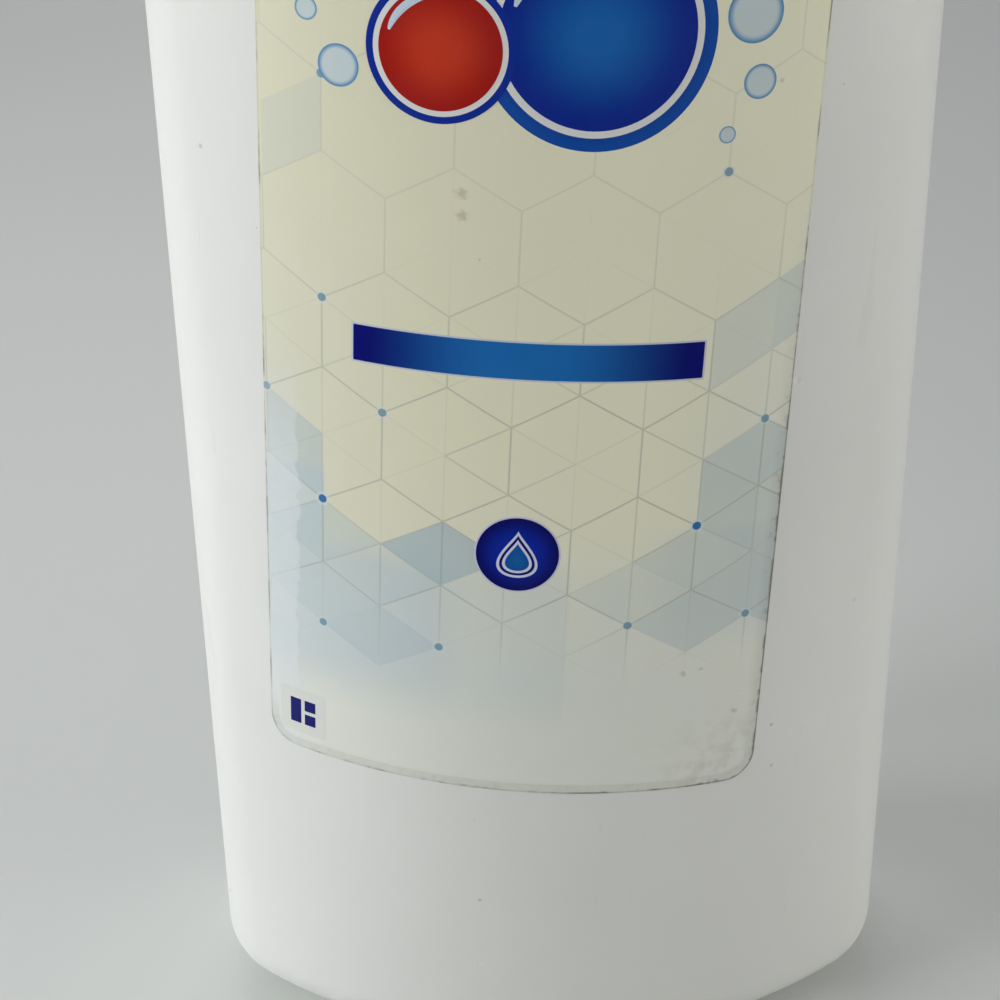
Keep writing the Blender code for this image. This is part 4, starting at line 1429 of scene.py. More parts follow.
@dataclass
class Label:
    """Film stuck on the wall, with figures printed on it in thin layers of ink.

    Places on the label are to the right of its middle and up from its lower edge.
    """

    form: BottleForm
    side: str
    slot: Slot
    width: float
    height: float
    bottom: float
    shift: float = 0.0
    tilt: float = 0.0
    facing: float = 1.0
    corner: float = 4.4
    low: float = 0.02
    high: float = 0.16
    ink: float = 0.012
    merge: float = 0.0000005
    ring_pitch: float = 1.4
    outline_steps: int = 96
    stroke_span: Range = (100.0, 165.0)
    stroke_steps: int = 40

    def on_wall(self, across: Array, up: Array, offset: Array) -> Array:
        """Lay places on the label on the wall, tilted about the middle of the label's foot.

        Args:
            across: place to the right.
            up: place up.
            offset: height above the wall.

        Returns:
            The points.
        """
        angle = math.radians(self.tilt)
        along = across * math.cos(angle) + up * math.sin(angle) + self.shift
        height = -across * math.sin(angle) + up * math.cos(angle) + self.bottom
        x, y = self.form.wall_point(along, offset, self.facing)
        return np.stack((x, y, height), axis=-1)

    def rectangle(
            self, centre: Point, size: Point, corner: float, low: float, high: float,
            pitch: float = 1.2) -> Patch:
        """Closed thin plate with round corners, as rings that run over its front and back.

        The half width of a row falls off by the corner's arc near both ends, and the first
        and last rows have no thickness, which closes the ends.

        Args:
            centre: middle of the plate on the label.
            size: width and height.
            corner: radius of the corners.
            low: offset of the back from the wall.
            high: offset of the front.
            pitch: largest step across, small enough for the wall's curve.

        Returns:
            The grid, and each point's place on the label.
        """
        arc = corner * (1.0 - np.cos(np.linspace(0.0, QUARTER_TURN, 9)))
        middle = np.linspace(corner, size[1] - corner, max(2, round(size[1] / pitch / 1.5)))[1:-1]
        rise = np.concatenate((arc, middle, size[1] - arc[::-1]))
        over = np.maximum(0.0, corner - np.minimum(rise, size[1] - rise))
        half = size[0] / 2.0 - corner + np.sqrt(np.maximum(corner ** 2 - over ** 2, 0.0))
        rise, half = (np.concatenate((row[:1], row, row[-1:])) for row in (rise, half))
        share = np.linspace(-1.0, 1.0, max(3, math.ceil(size[0] / pitch)))
        across = centre[0] + half[:, None] * np.concatenate((share, share[::-1]))[None, :]
        up = np.broadcast_to(centre[1] - size[1] / 2.0 + rise[:, None], across.shape)
        thickness = np.broadcast_to(np.repeat((high, low), len(share)), across.shape).copy()
        thickness[0] = thickness[-1] = (low + high) / 2.0
        places = np.stack((across, up, 0.0 * up), axis=-1)
        return self.on_wall(across, up, thickness), places

    def block(
            self, centre: Point, size: Point, corner: float, level: int,
            pitch: float = 1.2) -> Patch:
        """Print a rectangle.

        Args:
            centre: middle of the rectangle.
            size: width and height.
            corner: radius of the corners.
            level: number of inks below this one.
            pitch: largest step across.

        Returns:
            The grid, and each point's share of the way to the rectangle's sides.
        """
        low, high = self.high - self.ink, self.high + self.ink * (level + 1)
        grid, places = self.rectangle(centre, size, corner, low, high, pitch)
        return grid, np.repeat(np.abs(places[..., :1] - centre[0]) / (size[0] / 2.0), 3, axis=-1)

    def patch(self, outline: Array, centre: Point, level: int, steps: int) -> Patch:
        """Print inside an outline that can be seen whole from its centre.

        Rings grow from the centre to the outline on the front and shrink back on the back.

        Args:
            outline: points around the patch.
            centre: the point that all of the outline can be seen from.
            level: number of inks below this one.
            steps: rings from the centre to the outline.

        Returns:
            The grid, and each point's share of the way out.
        """
        share = np.linspace(0.0, 1.0, steps + 1)
        share = np.concatenate((share, share[::-1]))[:, None]
        offset = np.repeat((self.high + self.ink * (level + 1), self.high - self.ink), steps + 1)
        across, up = (
            middle + share * (rim - middle)[None] for middle, rim in zip(centre, outline.T))
        marks = np.stack((share + 0.0 * across,) * 3, axis=-1)
        return self.on_wall(across, up, offset[:, None] + 0.0 * across), marks

    def disc(self, centre: Point, radius: float, level: int) -> Patch:
        """Print a round spot.

        Args:
            centre: middle of the spot.
            radius: its radius.
            level: number of inks below this one.

        Returns:
            The grid, and each point's share of the way out.
        """
        angle = around(self.outline_steps)
        outline = np.array(centre) + radius * np.stack((np.cos(angle), np.sin(angle)), axis=-1)
        return self.patch(outline, centre, level, max(2, math.ceil(radius / self.ring_pitch)))

    def drop(self, centre: Point, size: float, level: int) -> Patch:
        """Print the shape of a falling drop.

        Its half width at the angle t from its tip is the sine of t times the sine of t / 2
        to the power 1.6, and its height is the cosine of t.

        Args:
            centre: middle of the drop's height.
            size: half of its height.
            level: number of inks below this one.

        Returns:
            The grid, and each point's share of the way out.
        """
        angle = around(self.outline_steps)
        wide = np.sin(angle) * np.abs(np.sin(angle / 2.0)) ** 1.6
        outline = np.array(centre) + size * np.stack((1.12 * wide, np.cos(angle)), axis=-1)
        return self.patch(outline, (centre[0], centre[1] - 0.3 * size), level, 3)

    def stroke(self, centre: Point, radius: float, width: float, level: int) -> Patch:
        """Print a curved stroke at the upper left of a bubble, which thins out to both ends.

        Args:
            centre: middle of the bubble.
            radius: radius of the stroke's line.
            width: greatest width.
            level: number of inks below this one.

        Returns:
            The grid, and no marks.
        """
        angle = np.radians(np.linspace(*self.stroke_span, self.stroke_steps))[:, None]
        swell = np.sqrt(np.sin(np.linspace(0.0, math.pi, self.stroke_steps)))
        half = width / 2.0 * swell[:, None]
        share = np.linspace(-1.0, 1.0, 4)
        reach = radius + half * np.concatenate((share, share[::-1]))[None, :]
        offset = np.repeat((self.high + self.ink * (level + 1), self.high - self.ink), len(share))
        offset = offset[None, :] + 0.0 * reach
        offset[[0, -1]] = self.high
        across, up = centre[0] + reach * np.cos(angle), centre[1] + reach * np.sin(angle)
        return self.on_wall(across, up, offset), None

    def film_finish(self) -> PrintedFilm:
        """Return the film's finish."""
        return PrintedFilm(f"{self.side}_film", self.width, self.height, self.corner)

    def figures(self) -> list[Figure]:
        """Return the printed figures; a bare label has none."""
        return []

    def build(self) -> list[Piece]:
        """Build the film and its figures.

        Returns:
            The pieces.
        """
        middle, size = (0.0, self.height / 2.0), (self.width, self.height)
        grid, places = self.rectangle(middle, size, self.corner, self.low, self.high)
        film = Shell().add(grid, marks=places).build(f"{self.side}_label_film", "film_place")
        made = [place_piece(film, self.film_finish(), Body.BOTTLE, self.slot, f"{self.side}_label")]
        for figure in self.figures():
            shell = Shell()
            for grid, marks in figure.patches:
                shell.add(grid, marks=marks)
            item = shell.build(f"{self.side}_{figure.name}", "ink_run", merge=self.merge)
            made.append(place_piece(item, figure.ink, Body.BOTTLE, self.slot))
        return made


NAVY = (0.001, 0.003, 0.17)
BLUE = (0.011, 0.155, 0.49)
WHITE_INK = (0.80, 0.81, 0.79)
DROP_LINE = (0.69, 0.72, 0.88)


@dataclass
class FrontLabel(Label):
    """Front label: cream film with a lattice, a band, a drop badge, bubbles and a small mark."""

    side: str = "front"
    slot: Slot = Slot.FRONT_FILM
    width: float = 73.3
    height: float = 135.8
    bottom: float = 51.1
    shift: float = -6.9
    tilt: float = 3.2
    band_centre: Point = (0.05, 67.4)
    band_size: Point = (46.1, 5.1)
    key_line: float = 0.25
    badge: Point = (0.0, 38.9)
    badge_radius: float = 5.6
    badge_line: float = 0.24
    bubble: Point = (6.6, 110.3)
    bubble_radius: float = 14.6
    red_bubble: Point = (-12.4, 107.4)
    red_radius: float = 9.2
    small_bubbles: tuple[Place, ...] = (
        (-25.2, 104.0, 2.7), (-29.5, 110.5, 1.5), (27.4, 104.0, 2.2), (26.0, 112.5, 3.7),
        (23.6, 97.5, 1.1), (-9.5, 122.6, 4.4), (-3.2, 128.2, 1.8), (22.0, 126.0, 2.6))
    mark: Point = (-31.0, 6.3)
    mark_size: Point = (7.6, 7.6)
    mark_blocks: tuple[tuple[Point, Point], ...] = (
        ((-1.2, 0.0), (1.8, 4.2)), ((1.2, 1.2), (1.8, 1.8)), ((1.2, -1.2), (1.8, 1.8)))

    def band(self) -> list[Figure]:
        """Print the band and its key line.

        Returns:
            The figures, from the lowest ink up.
        """
        wide, tall = self.band_size
        key_size = (wide + 2.0 * self.key_line, tall + 2.0 * self.key_line)
        key, _ = self.block(self.band_centre, key_size, 0.2, 0)
        return [
            Figure("band_key", Ink("band_key_ink", (0.62, 0.66, 0.74)), [(key, None)]),
            Figure("band", Ink("band_ink", BLUE, NAVY, 0.15, 0.95), [
                self.block(self.band_centre, self.band_size, 0.15, 1)])]

    def drop_badge(self) -> list[Figure]:
        """Print the round badge and the drops in it, one inside the other.

        Returns:
            The figures, from the lowest ink up.
        """
        x, y = self.badge
        figures = [
            Figure("badge_key", Ink("badge_key_ink", (0.66, 0.65, 0.81)), [
                self.disc(self.badge, self.badge_radius + self.badge_line, 0)]),
            Figure(
                "badge", Ink("badge_ink", (0.001, 0.020, 0.37), (0.0008, 0.002, 0.13), 0.42, 1.02),
                [self.disc(self.badge, self.badge_radius, 1)])]
        drops = (
            ("badge_drop", Ink("drop_line_ink", DROP_LINE), 0.05, 3.6),
            ("badge_drop_gap", Ink("drop_gap_ink", NAVY), -0.08, 3.1),
            ("badge_inner_drop", Ink("inner_line_ink", DROP_LINE), -0.22, 2.6),
            ("badge_drop_core", Ink("drop_core_ink", (0.004, 0.12, 0.38), (0.004, 0.09, 0.40)),
             -0.35, 2.1))
        for level, (name, ink, above, size) in enumerate(drops, start=2):
            figures.append(Figure(name, ink, [self.drop((x, y + above), size, level)]))
        return figures

    def bubbles(self) -> list[Figure]:
        """Print the soap bubbles at the top of the label.

        Returns:
            The figures, from the lowest ink up.
        """
        blue, radius = self.bubble, self.bubble_radius
        red, red_radius = self.red_bubble, self.red_radius
        figures = []
        for level, (name, centre, reach, ink) in enumerate((
                ("bubble_rim", blue, radius, Ink("bubble_rim_ink", NAVY, (0.006, 0.08, 0.42), 0.6)),
                ("bubble_key", blue, radius - 1.7, Ink("bubble_key_ink", WHITE_INK)),
                ("bubble_blue", blue, radius - 2.6, Ink(
                    "bubble_blue_ink", (0.010, 0.14, 0.48), (0.004, 0.025, 0.30), 0.1, 0.95)),
                ("red_rim", red, red_radius, Ink("red_rim_ink", NAVY, (0.006, 0.03, 0.34), 0.6)),
                ("red_key", red, red_radius - 0.9, Ink("red_key_ink", WHITE_INK)),
                ("red_bubble", red, red_radius - 1.6, Ink(
                    "red_bubble_ink", (0.60, 0.045, 0.016), (0.40, 0.012, 0.008), 0.2)))):
            figures.append(Figure(name, ink, [self.disc(centre, reach, level)]))
        glint = (blue[0] + 0.46 * radius, blue[1] + 0.42 * radius)
        figures.append(Figure(
            "bubble_glints", Ink("glint_ink", (0.62, 0.74, 0.86), (0.52, 0.66, 0.84)),
            [self.stroke(blue, radius - 4.0, 1.5, 3), self.stroke(red, red_radius - 2.6, 1.0, 5),
             self.disc(glint, 1.0, 3)]))
        figures.append(Figure(
            "small_bubbles", Ink("small_bubble_ink", (0.62, 0.72, 0.74), (0.10, 0.30, 0.56), 0.72),
            [self.disc((across, up), reach, 0) for across, up, reach in self.small_bubbles]))
        return figures

    def corner_mark(self) -> list[Figure]:
        """Print the small plain mark in the lower left corner.

        Returns:
            The figures, from the lowest ink up.
        """
        x, y = self.mark
        ground, _ = self.block(self.mark, self.mark_size, 0.5, 0)
        blocks = [
            (self.block((x + right, y + above), size, 0.05, 1, 0.9)[0], None)
            for (right, above), size in self.mark_blocks]
        return [
            Figure("mark_ground", Ink("mark_ground_ink", (0.76, 0.78, 0.74)), [(ground, None)]),
            Figure("mark_blocks", Ink("mark_ink", (0.010, 0.014, 0.16)), blocks)]

    def figures(self) -> list[Figure]:
        """Return the printed figures."""
        return self.band() + self.drop_badge() + self.bubbles() + self.corner_mark()


@dataclass
class BackLabel(Label):
    """Back label: pale film with a head band and bare panels."""

    side: str = "back"
    slot: Slot = Slot.BACK_FILM
    width: float = 71.8
    height: float = 137.8
    bottom: float = 49.1
    facing: float = -1.0
    panel_corner: float = 0.6
    panels: tuple[tuple[str, Ink, Point, Point, int], ...] = (
        ("band", Ink("back_band_ink", BLUE, NAVY, 0.15, 0.95), (0.0, 124.0), (62.0, 6.0), 1),
        ("upper_frame", Ink("frame_ink", (0.20, 0.30, 0.46)), (0.0, 94.0), (62.0, 44.0), 0),
        ("upper_panel", Ink("panel_ink", (0.79, 0.81, 0.78)), (0.0, 94.0), (61.3, 43.3), 1),
        ("code_panel", Ink("code_panel_ink", (0.82, 0.82, 0.80)), (17.0, 16.0), (28.0, 18.0), 0))

    def film_finish(self) -> PrintedFilm:
        """Return the film's finish."""
        return PrintedFilm(
            f"{self.side}_film", self.width, self.height, self.corner, strong_dots=((6, -3),),
            dots=((0, 0), (1, 1), (7, -5)), smudges=((12.0, 30.0, 1.0),),
            cream=(0.80, 0.79, 0.66))

    def figures(self) -> list[Figure]:
        """Return the band, the frame and the panels."""
        return [
            Figure(name, ink, [self.block(centre, size, self.panel_corner, level)])
            for name, ink, centre, size, level in self.panels]


@dataclass
class ScrewClosure:
    """Ribbed screw cap with a thread on its inside."""

    bottom: float = 219.5
    top: float = 240.0
    ceiling: float = 238.2
    hole: float = 9.3
    bore: float = 16.9
    radius: float = 19.0
    rounding: float = 0.8
    skirt_top: float = 237.8
    skirt_bottom: float = 220.5
    skirt_steps: int = 14
    ribs: int = 48
    rib_depth: float = 0.45
    rib_end: float = 0.9
    steps_per_rib: int = 8
    thread_top: float = 226.9
    thread_pitch: float = 4.2
    thread_root: float = 17.3
    thread_crest: float = 15.65
    thread_widths: Range = (2.2, 0.8)
    finish: Plastic = Plastic(
        "closure_white", (0.83, 0.84, 0.83), (0.80, 0.81, 0.805), roughness=(0.30, 0.38), dust=0.10,
        scuffs=0.35)

    def ribbed(self, grid: Array) -> Array:
        """Push the skirt in between its ribs.

        The push follows a raised cosine of the angle to the power 1.6, and fades out with a
        square root at both ends of the ribs.

        Args:
            grid: the turned cap.

        Returns:
            The ribbed cap.
        """
        x, y, z = np.moveaxis(grid, -1, 0)
        wave = 0.5 - 0.5 * np.cos(np.arctan2(y, x) * self.ribs)
        end = (np.clip((self.skirt_top - z) / self.rib_end, 0.0, 1.0)
               * np.clip((z - self.skirt_bottom) / self.rib_end, 0.0, 1.0))
        outside = np.hypot(x, y) > self.radius - 0.01
        push = 1.0 - self.rib_depth / self.radius * (wave ** 1.6) * np.sqrt(end) * outside
        return grid * np.stack((push, push, np.ones_like(push)), axis=-1)

    def build(self) -> list[Piece]:
        """Build the closure: a turned ring with more steps down its skirt, for the ribs.

        Returns:
            The one piece.
        """
        body = softened([
            (self.hole, self.top), (self.radius, self.top), (self.radius, self.bottom),
            (self.bore, self.bottom), (self.bore, self.ceiling), (self.hole, self.ceiling)],
            self.rounding)
        skirt = np.stack((
            np.full(self.skirt_steps, self.radius),
            np.linspace(self.skirt_top, self.skirt_bottom, self.skirt_steps)), axis=-1)
        upper, rest = body[body[:, 1] > self.top - 1.0], body[body[:, 1] < self.top - 1.0]
        outer = upper[:, 0] > self.hole + 1.0
        profile = np.concatenate((upper[~outer], upper[outer], skirt, rest))
        grid = self.ribbed(turned(profile, self.ribs * self.steps_per_rib))
        ridge = helical_ridge(
            self.thread_top, self.thread_pitch, self.thread_root, self.thread_crest,
            self.thread_widths)
        item = Shell().add(grid, ring_rows=True).add(ridge).build("screw_closure")
        return [place_piece(item, self.finish, Body.CLOSURE, Slot.CLOSURE, "closure")]


@dataclass
class PumpBody:
    """What the closure clamps on the neck: gasket, housing, lock collar, dip tube and spring."""

    flange: float = 16.1
    ledge: float = 182.2
    vent_radius: float = 0.8
    vent_span: Range = (5.0, 15.0)
    vent_height: float = 227.1
    tube_radius: float = 3.5
    tube_bore: float = 2.5
    tube_bottom: float = 7.2
    tube_top: float = 171.98
    tube_slant: float = 35.0
    spring_radius: float = 4.6
    spring_wire: float = 0.5
    spring_turns: int = 8
    spring_span: Range = (182.5, 211.5)
    spring_end_pitch: float = 0.3
    spring_travel: float = 19.0
    spring_end_cap: float = 1e-3
    spring_steps: int = 40
    wire_sides: int = 12
    tube_sides: int = 64
    vent_sides: int = 24
    natural: Plastic = Plastic(
        "natural_plastic", (0.78, 0.80, 0.79), (0.72, 0.745, 0.74), roughness=(0.32, 0.44),
        specks=0.0, scuffs=0.2, dust=0.03, milky=0.25)
    white: Plastic = Plastic(
        "collar_white", (0.83, 0.84, 0.835), (0.80, 0.81, 0.81), roughness=(0.26, 0.34),
        scuffs=0.35)
    clear: Plastic = Plastic(
        "tube_natural", (0.76, 0.795, 0.79), (0.70, 0.74, 0.74), roughness=(0.24, 0.34),
        grain=500.0, specks=0.0, scuffs=0.3, dust=0.0, milky=0.3)
    foam: Foam = Foam("washer_foam")
    wire: Steel = Steel("spring_wire")

    def housing(self) -> Piece:
        """Build the cylinder: flange, ledge, ball chamber, tube socket and a vent hole.

        Returns:
            The piece.
        """
        profile = softened([
            (9.3, 236.1), (self.flange, 236.1), (self.flange, 234.6), (10.5, 234.6), (10.5, 224.9),
            (8.6, 222.9), (8.6, self.ledge), (5.2, 178.8), (5.2, 160.48), (3.8, 160.48),
            (3.8, 172.28), (1.6, 172.28), (1.6, 173.48), (3.2, 175.48), (3.2, self.ledge),
            (7.4, self.ledge), (7.4, 224.1), (9.3, 226.1)], 0.35)
        item = Shell().add(turned(profile), ring_rows=True).build("pump_cylinder")
        near, far = self.vent_span
        rod = np.array(((0.0, far), (self.vent_radius, far), (self.vent_radius, near), (0.0, near)))
        rod = softened(rod, 0.0, closed=False)
        cutter = Shell().add(turned(rod, self.vent_sides)).build("vent_cutter")
        level = Matrix.Translation((0.0, 0.0, self.vent_height * MM))
        cutter.data.transform(level @ Matrix.Rotation(QUARTER_TURN, 4, "Y"))
        cut = item.modifiers.new("vent", "BOOLEAN")
        cut.operation = "DIFFERENCE"
        cut.solver = "EXACT"
        cut.object = cutter
        settle(item)
        bpy.data.objects.remove(cutter)
        return place_piece(item, self.natural, Body.PUMP, Slot.NATURAL, "pump_housing")

    def collar(self) -> Piece:
        """Build the lock collar with its boss, flange, clip skirt and guide tube.

        Returns:
            The piece.
        """
        profile = softened([
            (5.3, 245.5), (8.8, 245.5), (8.8, 237.9), (self.flange, 237.9), (self.flange, 236.4),
            (9.0, 236.4), (9.0, 227.4), (8.0, 227.4), (8.0, 236.4), (7.8, 237.9), (7.8, 244.5),
            (6.3, 244.5), (6.3, 225.4), (5.3, 225.4)], 0.45)
        item = Shell().add(turned(profile), ring_rows=True).build("lock_ring")
        return place_piece(item, self.white, Body.PUMP, Slot.PUMP, "lock_collar")

    def gasket(self) -> Piece:
        """Build the foam washer, whose edges are round.

        Returns:
            The piece.
        """
        profile = softened([(12.6, 234.3), (16.1, 234.3), (16.1, 233.3), (12.6, 233.3)], 0.3)
        item = Shell().add(turned(profile), ring_rows=True).build("foam_washer")
        return place_piece(item, self.foam, Body.PUMP, Slot.GASKET, "neck_gasket")

    def tube(self) -> Piece:
        """Build the dip tube, whose foot is cut on a slant, lowest at +X.

        Returns:
            The piece.
        """
        walls = softened([
            (self.tube_bore, self.tube_top), (self.tube_radius, self.tube_top),
            (self.tube_radius, self.tube_bottom), (self.tube_bore, self.tube_bottom)], 0.2)
        grid = turned(walls, self.tube_sides)
        slope = math.tan(math.radians(self.tube_slant))
        at_foot = grid[..., 2] < (self.tube_top + self.tube_bottom) / 2.0
        grid[..., 2] += np.where(at_foot, (self.tube_radius - grid[..., 0]) * slope, 0.0)
        item = Shell().add(grid, ring_rows=True).build("suction_tube")
        return place_piece(item, self.clear, Body.PUMP, Slot.TUBE, "dip_tube")

    def spring(self) -> Piece:
        """Build the coil, whose pitch closes up at both ends.

        The wire's rise is a straight share of the way plus that share less a sine of it,
        which has no slope at its ends.

        Returns:
            The piece.
        """
        share = np.linspace(0.0, 1.0, self.spring_turns * self.spring_steps + 1)
        angle = FULL_TURN * self.spring_turns * share
        closed_ends = share - np.sin(FULL_TURN * share) / FULL_TURN
        rise = self.spring_end_pitch * share + (1.0 - self.spring_end_pitch) * closed_ends
        low, high = self.spring_span
        outward = np.stack((np.cos(angle), np.sin(angle), 0.0 * angle), axis=-1)
        path = outward * self.spring_radius
        path[:, 2] = low + self.spring_wire + (high - low - 2.0 * self.spring_wire) * rise
        path, outward = (np.concatenate((row[:1], row, row[-1:])) for row in (path, outward))
        radius = np.full(len(path), self.spring_wire)
        radius[[0, -1]] = 0.0
        tangent = np.gradient(path, axis=0)
        path[0] -= tangent[2] * self.spring_end_cap
        path[-1] += tangent[-3] * self.spring_end_cap
        along = np.gradient(path, axis=0)
        along /= np.linalg.norm(along, axis=1, keepdims=True)
        grid = rings(path, radius, outward, np.cross(outward, along), self.wire_sides)
        item = Shell().add(grid).build("coil_spring")
        place_piece(item, self.wire, Body.PUMP, Slot.SPRING, "return_spring")
        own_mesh(item)
        return item

    def build(self) -> list[Piece]:
        """Build what stays with the neck."""
        return [self.housing(), self.collar(), self.gasket(), self.tube(), self.spring()]


@dataclass
class PumpHead:
    """Actuator: thumb pad, skirt, spout and shank in one moulding."""

    radius: float = 11.8
    bottom: float = 265.1
    side_top: float = 273.6
    top: float = 280.1
    wall: float = 1.5
    shank: float = 5.0
    shank_bottom: float = 239.0
    socket: float = 3.9
    chamber: float = 2.0
    chamber_top: float = 276.2
    dome_power: float = 0.6
    spout_height: float = 274.3
    spout_start: float = 3.0
    spout_end: float = 33.1
    spout_radii: Range = (4.2, 3.1)
    spout_bore: float = 1.6
    spout_bore_start: float = 9.0
    spout_droop: float = 6.2
    spout_reach: float = 35.0
    lip: float = 0.25
    lip_outer: float = 0.35
    lip_inner: float = 0.3
    pad_steps: int = 14
    sides: int = 128
    spout_steps: int = 40
    bore_steps: int = 26
    spout_sides: int = 48
    voxel: float = 0.00036
    smoothing: int = 6
    smooth_share: float = 0.5
    finish: Plastic = Plastic(
        "head_white", (0.835, 0.845, 0.84), (0.81, 0.82, 0.815), roughness=(0.22, 0.30), dust=0.14,
        scuffs=0.35)

    def spout(self) -> Array:
        """Grid of the spout: out along its line, round its lip and back along its bore.

        The line keeps its height near the head and droops with the fourth power of its reach.

        Returns:
            The grid, with a ring in each row.
        """
        first, last = self.spout_radii
        out = np.linspace(self.spout_start, self.spout_end, self.spout_steps)
        outer = first + (last - first) * ((out - out[0]) / (out[-1] - out[0]))
        back = np.linspace(self.spout_end, self.spout_bore_start, self.bore_steps)
        tip = out[-1:] + self.lip
        reach = np.concatenate((out[:1], out, tip, tip, back, back[-1:]))
        radius = np.concatenate((
            (0.0,), outer, (outer[-1] - self.lip_outer, self.spout_bore + self.lip_inner),
            np.full(len(back), self.spout_bore), (0.0,)))
        flat = 0.0 * reach
        slope = 4.0 * self.spout_droop * reach ** 3 / self.spout_reach ** 4
        height = self.spout_height - self.spout_droop * (reach / self.spout_reach) ** 4
        upward = np.stack((flat, -slope, 1.0 + flat), axis=-1)
        upward /= np.linalg.norm(upward, axis=1, keepdims=True)
        side = np.stack((1.0 + flat, flat, flat), axis=-1)
        line = np.stack((flat, -reach, height), axis=-1)
        return rings(line, radius, side, upward, self.spout_sides)

    def build(self) -> list[Piece]:
        """Build the head: its shells are fused by a fine remesh, which rounds their joins.

        The thumb pad's rise is the cosine of a quarter turn to the dome's power.

        Returns:
            The one piece.
        """
        turn = np.linspace(0.0, QUARTER_TURN, self.pad_steps)
        rise = (self.top - self.side_top) * np.cos(turn) ** self.dome_power
        dome = np.stack((self.radius * np.sin(turn), self.side_top + rise), axis=-1)
        dome[-1, 1] = self.side_top
        inner, cavity = self.radius - self.wall, self.side_top - self.wall
        lower = np.array((
            (self.radius, self.bottom), (inner, self.bottom), (inner, cavity), (self.shank, cavity),
            (self.shank, self.shank_bottom), (self.socket, self.shank_bottom),
            (self.socket, self.side_top), (self.chamber, self.side_top),
            (self.chamber, self.chamber_top), (0.0, self.chamber_top)))
        profile = np.concatenate((dome, lower))
        item = Shell().add(turned(profile, self.sides)).add(self.spout()).build("pump_actuator")
        fuse = item.modifiers.new("fuse", "REMESH")
        fuse.mode = "VOXEL"
        fuse.voxel_size = self.voxel
        smooth = item.modifiers.new("smooth", "SMOOTH")
        smooth.factor = self.smooth_share
        smooth.iterations = self.smoothing
        settle(item)
        item.data.shade_smooth()
        return [place_piece(item, self.finish, Body.HEAD, Slot.PUMP, "pump_head")]


@dataclass
class InnerValves:
    """Stem, piston, outlet seat and inlet ball, whose CAD shapes stay in view."""

    stem: Plastic = Plastic(
        "stem_white", (0.82, 0.83, 0.825), (0.79, 0.80, 0.80), roughness=(0.28, 0.36), scuffs=0.4)
    piston: Plastic = Plastic(
        "piston_soft", (0.76, 0.78, 0.755), (0.70, 0.73, 0.71), roughness=(0.36, 0.48), specks=0.0,
        scuffs=0.5, milky=0.2)
    seat: Plastic = Plastic(
        "seat_natural", (0.78, 0.80, 0.79), (0.73, 0.75, 0.75), roughness=(0.30, 0.42), milky=0.2)
    ball: Steel = Steel(
        "ball_steel", (0.70, 0.70, 0.69), (0.50, 0.49, 0.47), roughness=(0.05, 0.16))

    def build(self) -> list[Piece]:
        """Dress the CAD nodes."""
        return [dress_node(name, finish) for name, finish in (
            ("stem", self.stem), ("piston", self.piston), ("piston_seat", self.seat),
            ("inlet_ball", self.ball))]


@dataclass(frozen=True)
class FloorFinish(Finish):
    """Pale satin floor that takes the background's tone where it is far away, for the camera."""

    colour: Colour
    background: Colour
    fade: Range = (0.60, 1.10)
    lighter: float = 1.04
    roughness: Range = (0.38, 0.48)
    relief: float = 0.00001

    def surface(self, wires: Wiring) -> Feeds:
        """Wire the floor.

        Args:
            wires: wiring of the material.

        Returns:
            What goes into the shader, by the input's name.
        """
        place = wires.place()
        slow = wires.noise(place, 3.0, 2.0)
        lighter = tuple(value * self.lighter for value in self.colour)
        return {
            "Base Color": wires.mix(slow, self.colour, lighter),
            "Roughness": wires.scaled(slow, *self.roughness),
            "Normal": wires.relief(wires.noise(place, 400.0, 2.0), self.relief)}

    def material(self) -> Material:
        """Build the material, with the background's tone mixed in by the distance.

        Returns:
            The new material.
        """
        material = super().material()
        wires, nodes = Wiring(material.node_tree), material.node_tree.nodes
        away = wires.step(wires.vector("LENGTH", wires.place(), output=1), *self.fade)
        share = wires.times(away, wires.node("LightPath").outputs["Is Camera Ray"])
        beyond = wires.node("Emission", {"Color": (*self.background, 1.0)})
        blend = wires.node("MixShader", {
            0: share, 1: nodes["Principled BSDF"].outputs[0], 2: beyond.outputs[0]})
        wires.fill(nodes["Material Output"], {"Surface": blend.outputs[0]})
        return material


@dataclass(frozen=True)
class Lamp:
    """Round area lamp, aimed at a target and fanned out by its spread in degrees."""

    name: str
    place: Place
    target: Place
    size: float
    power: float
    spread: float = 180.0
    colour: Colour = (1.0, 1.0, 1.0)

    def hang(self) -> None:
        """Hang the lamp in the scene."""
        data = bpy.data.lights.new(self.name, "AREA")
        data.shape = "DISK"
        data.size = self.size
        data.spread = math.radians(self.spread)
        data.energy = self.power
        data.color = self.colour
        aim = (Vector(self.target) - Vector(self.place)).to_track_quat("-Z", "Y")
        turn = aim.to_matrix().to_4x4()
        linked(self.name, data).matrix_world = Matrix.Translation(self.place) @ turn


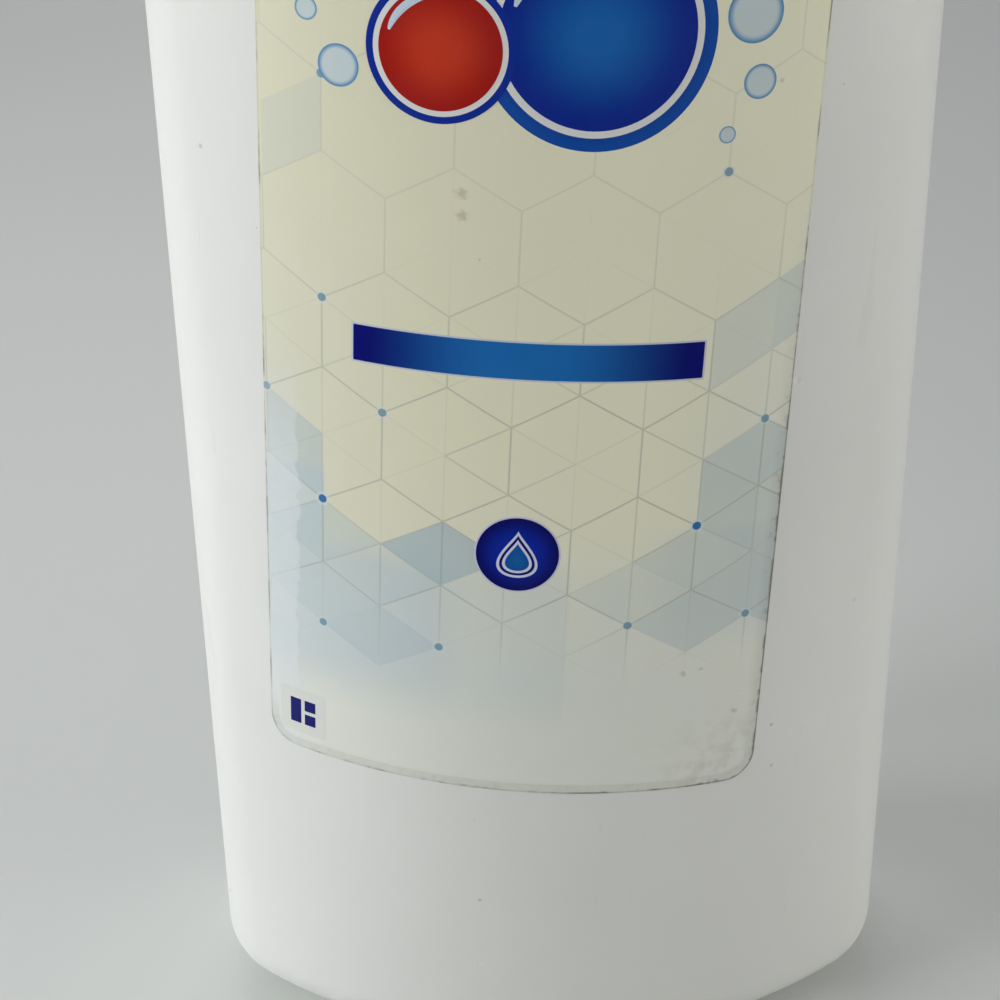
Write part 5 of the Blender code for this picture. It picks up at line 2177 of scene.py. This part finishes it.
@dataclass
class Studio:
    """Pale floor, soft lights, even surroundings and the camera of the photograph."""

    camera_place: Place = (-0.00694, -0.28795, 0.2333)
    camera_down: float = 28.2
    camera_roll: float = -0.96
    focal: float = 77.58
    floor_size: float = 3.0
    floor_colour: Colour = (0.745, 0.772, 0.757)
    background: Colour = (0.60, 0.625, 0.615)
    surround: Colour = (0.80, 0.82, 0.83)
    surround_strength: float = 0.17
    lamps: tuple[Lamp, ...] = (
        Lamp("window_lamp", (-0.90, 0.05, 0.30), (0.0, 0.0, 0.13), 0.30, 0.88, spread=100.0),
        Lamp("left_lamp", (-0.80, -0.35, 0.30), (0.0, 0.0, 0.13), 0.35, 1.11, spread=100.0),
        Lamp("right_lamp", (0.95, -0.10, 0.25), (0.0, 0.0, 0.12), 0.60, 2.25,
             colour=(1.0, 0.98, 0.94)),
        Lamp("front_lamp", (0.80, -0.60, 0.38), (0.0, 0.0, 0.12), 0.65, 1.85,
             colour=(1.0, 0.96, 0.91)),
        Lamp("rear_lamp", (-0.20, 0.95, 0.70), (0.0, 0.1, 0.0), 0.90, 2.8),
        Lamp("top_lamp", (0.0, -0.2, 1.10), (0.0, 0.0, 0.15), 0.60, 0.6))

    def camera(self) -> None:
        """Put the camera where the photograph was taken from."""
        data = bpy.data.cameras.new("photo_camera")
        data.lens = self.focal
        data.sensor_width = 36.0
        data.clip_start = 0.01
        item = linked("photo_camera", data)
        turn = Matrix.Rotation(math.radians(90.0 - self.camera_down), 4, "X")
        roll = Matrix.Rotation(math.radians(self.camera_roll), 4, "Z")
        item.matrix_world = Matrix.Translation(self.camera_place) @ turn @ roll
        bpy.context.scene.camera = item

    def surroundings(self) -> None:
        """Light the scene evenly from all round, with a pale background for the camera."""
        world = bpy.data.worlds.new("soft_room")
        world.use_nodes = True
        bpy.context.scene.world = world
        wires, nodes = Wiring(world.node_tree), world.node_tree.nodes
        room = wires.fill(nodes["Background"], {
            "Color": (*self.surround, 1.0), "Strength": self.surround_strength})
        behind = wires.node("Background", {"Color": (*self.background, 1.0)})
        seen = wires.node("LightPath").outputs["Is Camera Ray"]
        blend = wires.node("MixShader", {0: seen, 1: room.outputs[0], 2: behind.outputs[0]})
        wires.fill(nodes["World Output"], {"Surface": blend.outputs[0]})

    def floor(self) -> None:
        """Lay the floor."""
        shape = bmesh.new()
        bmesh.ops.create_grid(shape, x_segments=1, y_segments=1, size=self.floor_size)
        mesh = bpy.data.meshes.new("floor")
        shape.to_mesh(mesh)
        shape.free()
        finish = FloorFinish("floor_pale", self.floor_colour, self.background)
        mesh.materials.append(finish.material())
        item = linked("floor", mesh)

    def build(self) -> None:
        """Set up the studio."""
        bpy.context.scene.view_settings.view_transform = "Standard"
        self.camera()
        for lamp in self.lamps:
            lamp.hang()
        self.surroundings()
        self.floor()


def main() -> None:
    """Build the studio and every sub-assembly in order."""
    logging.basicConfig(level=logging.INFO, format="%(message)s")
    Studio().build()
    form = BottleForm()
    for part in (
            BlownBottle(form), FrontLabel(form), BackLabel(form), ScrewClosure(), PumpBody(),
            PumpHead(), InnerValves()):
        for piece in part.build():
            log.info("%s: %s, %d faces", type(part).__name__, piece.name, len(piece.data.polygons))


if __name__ == "__main__":
    main()
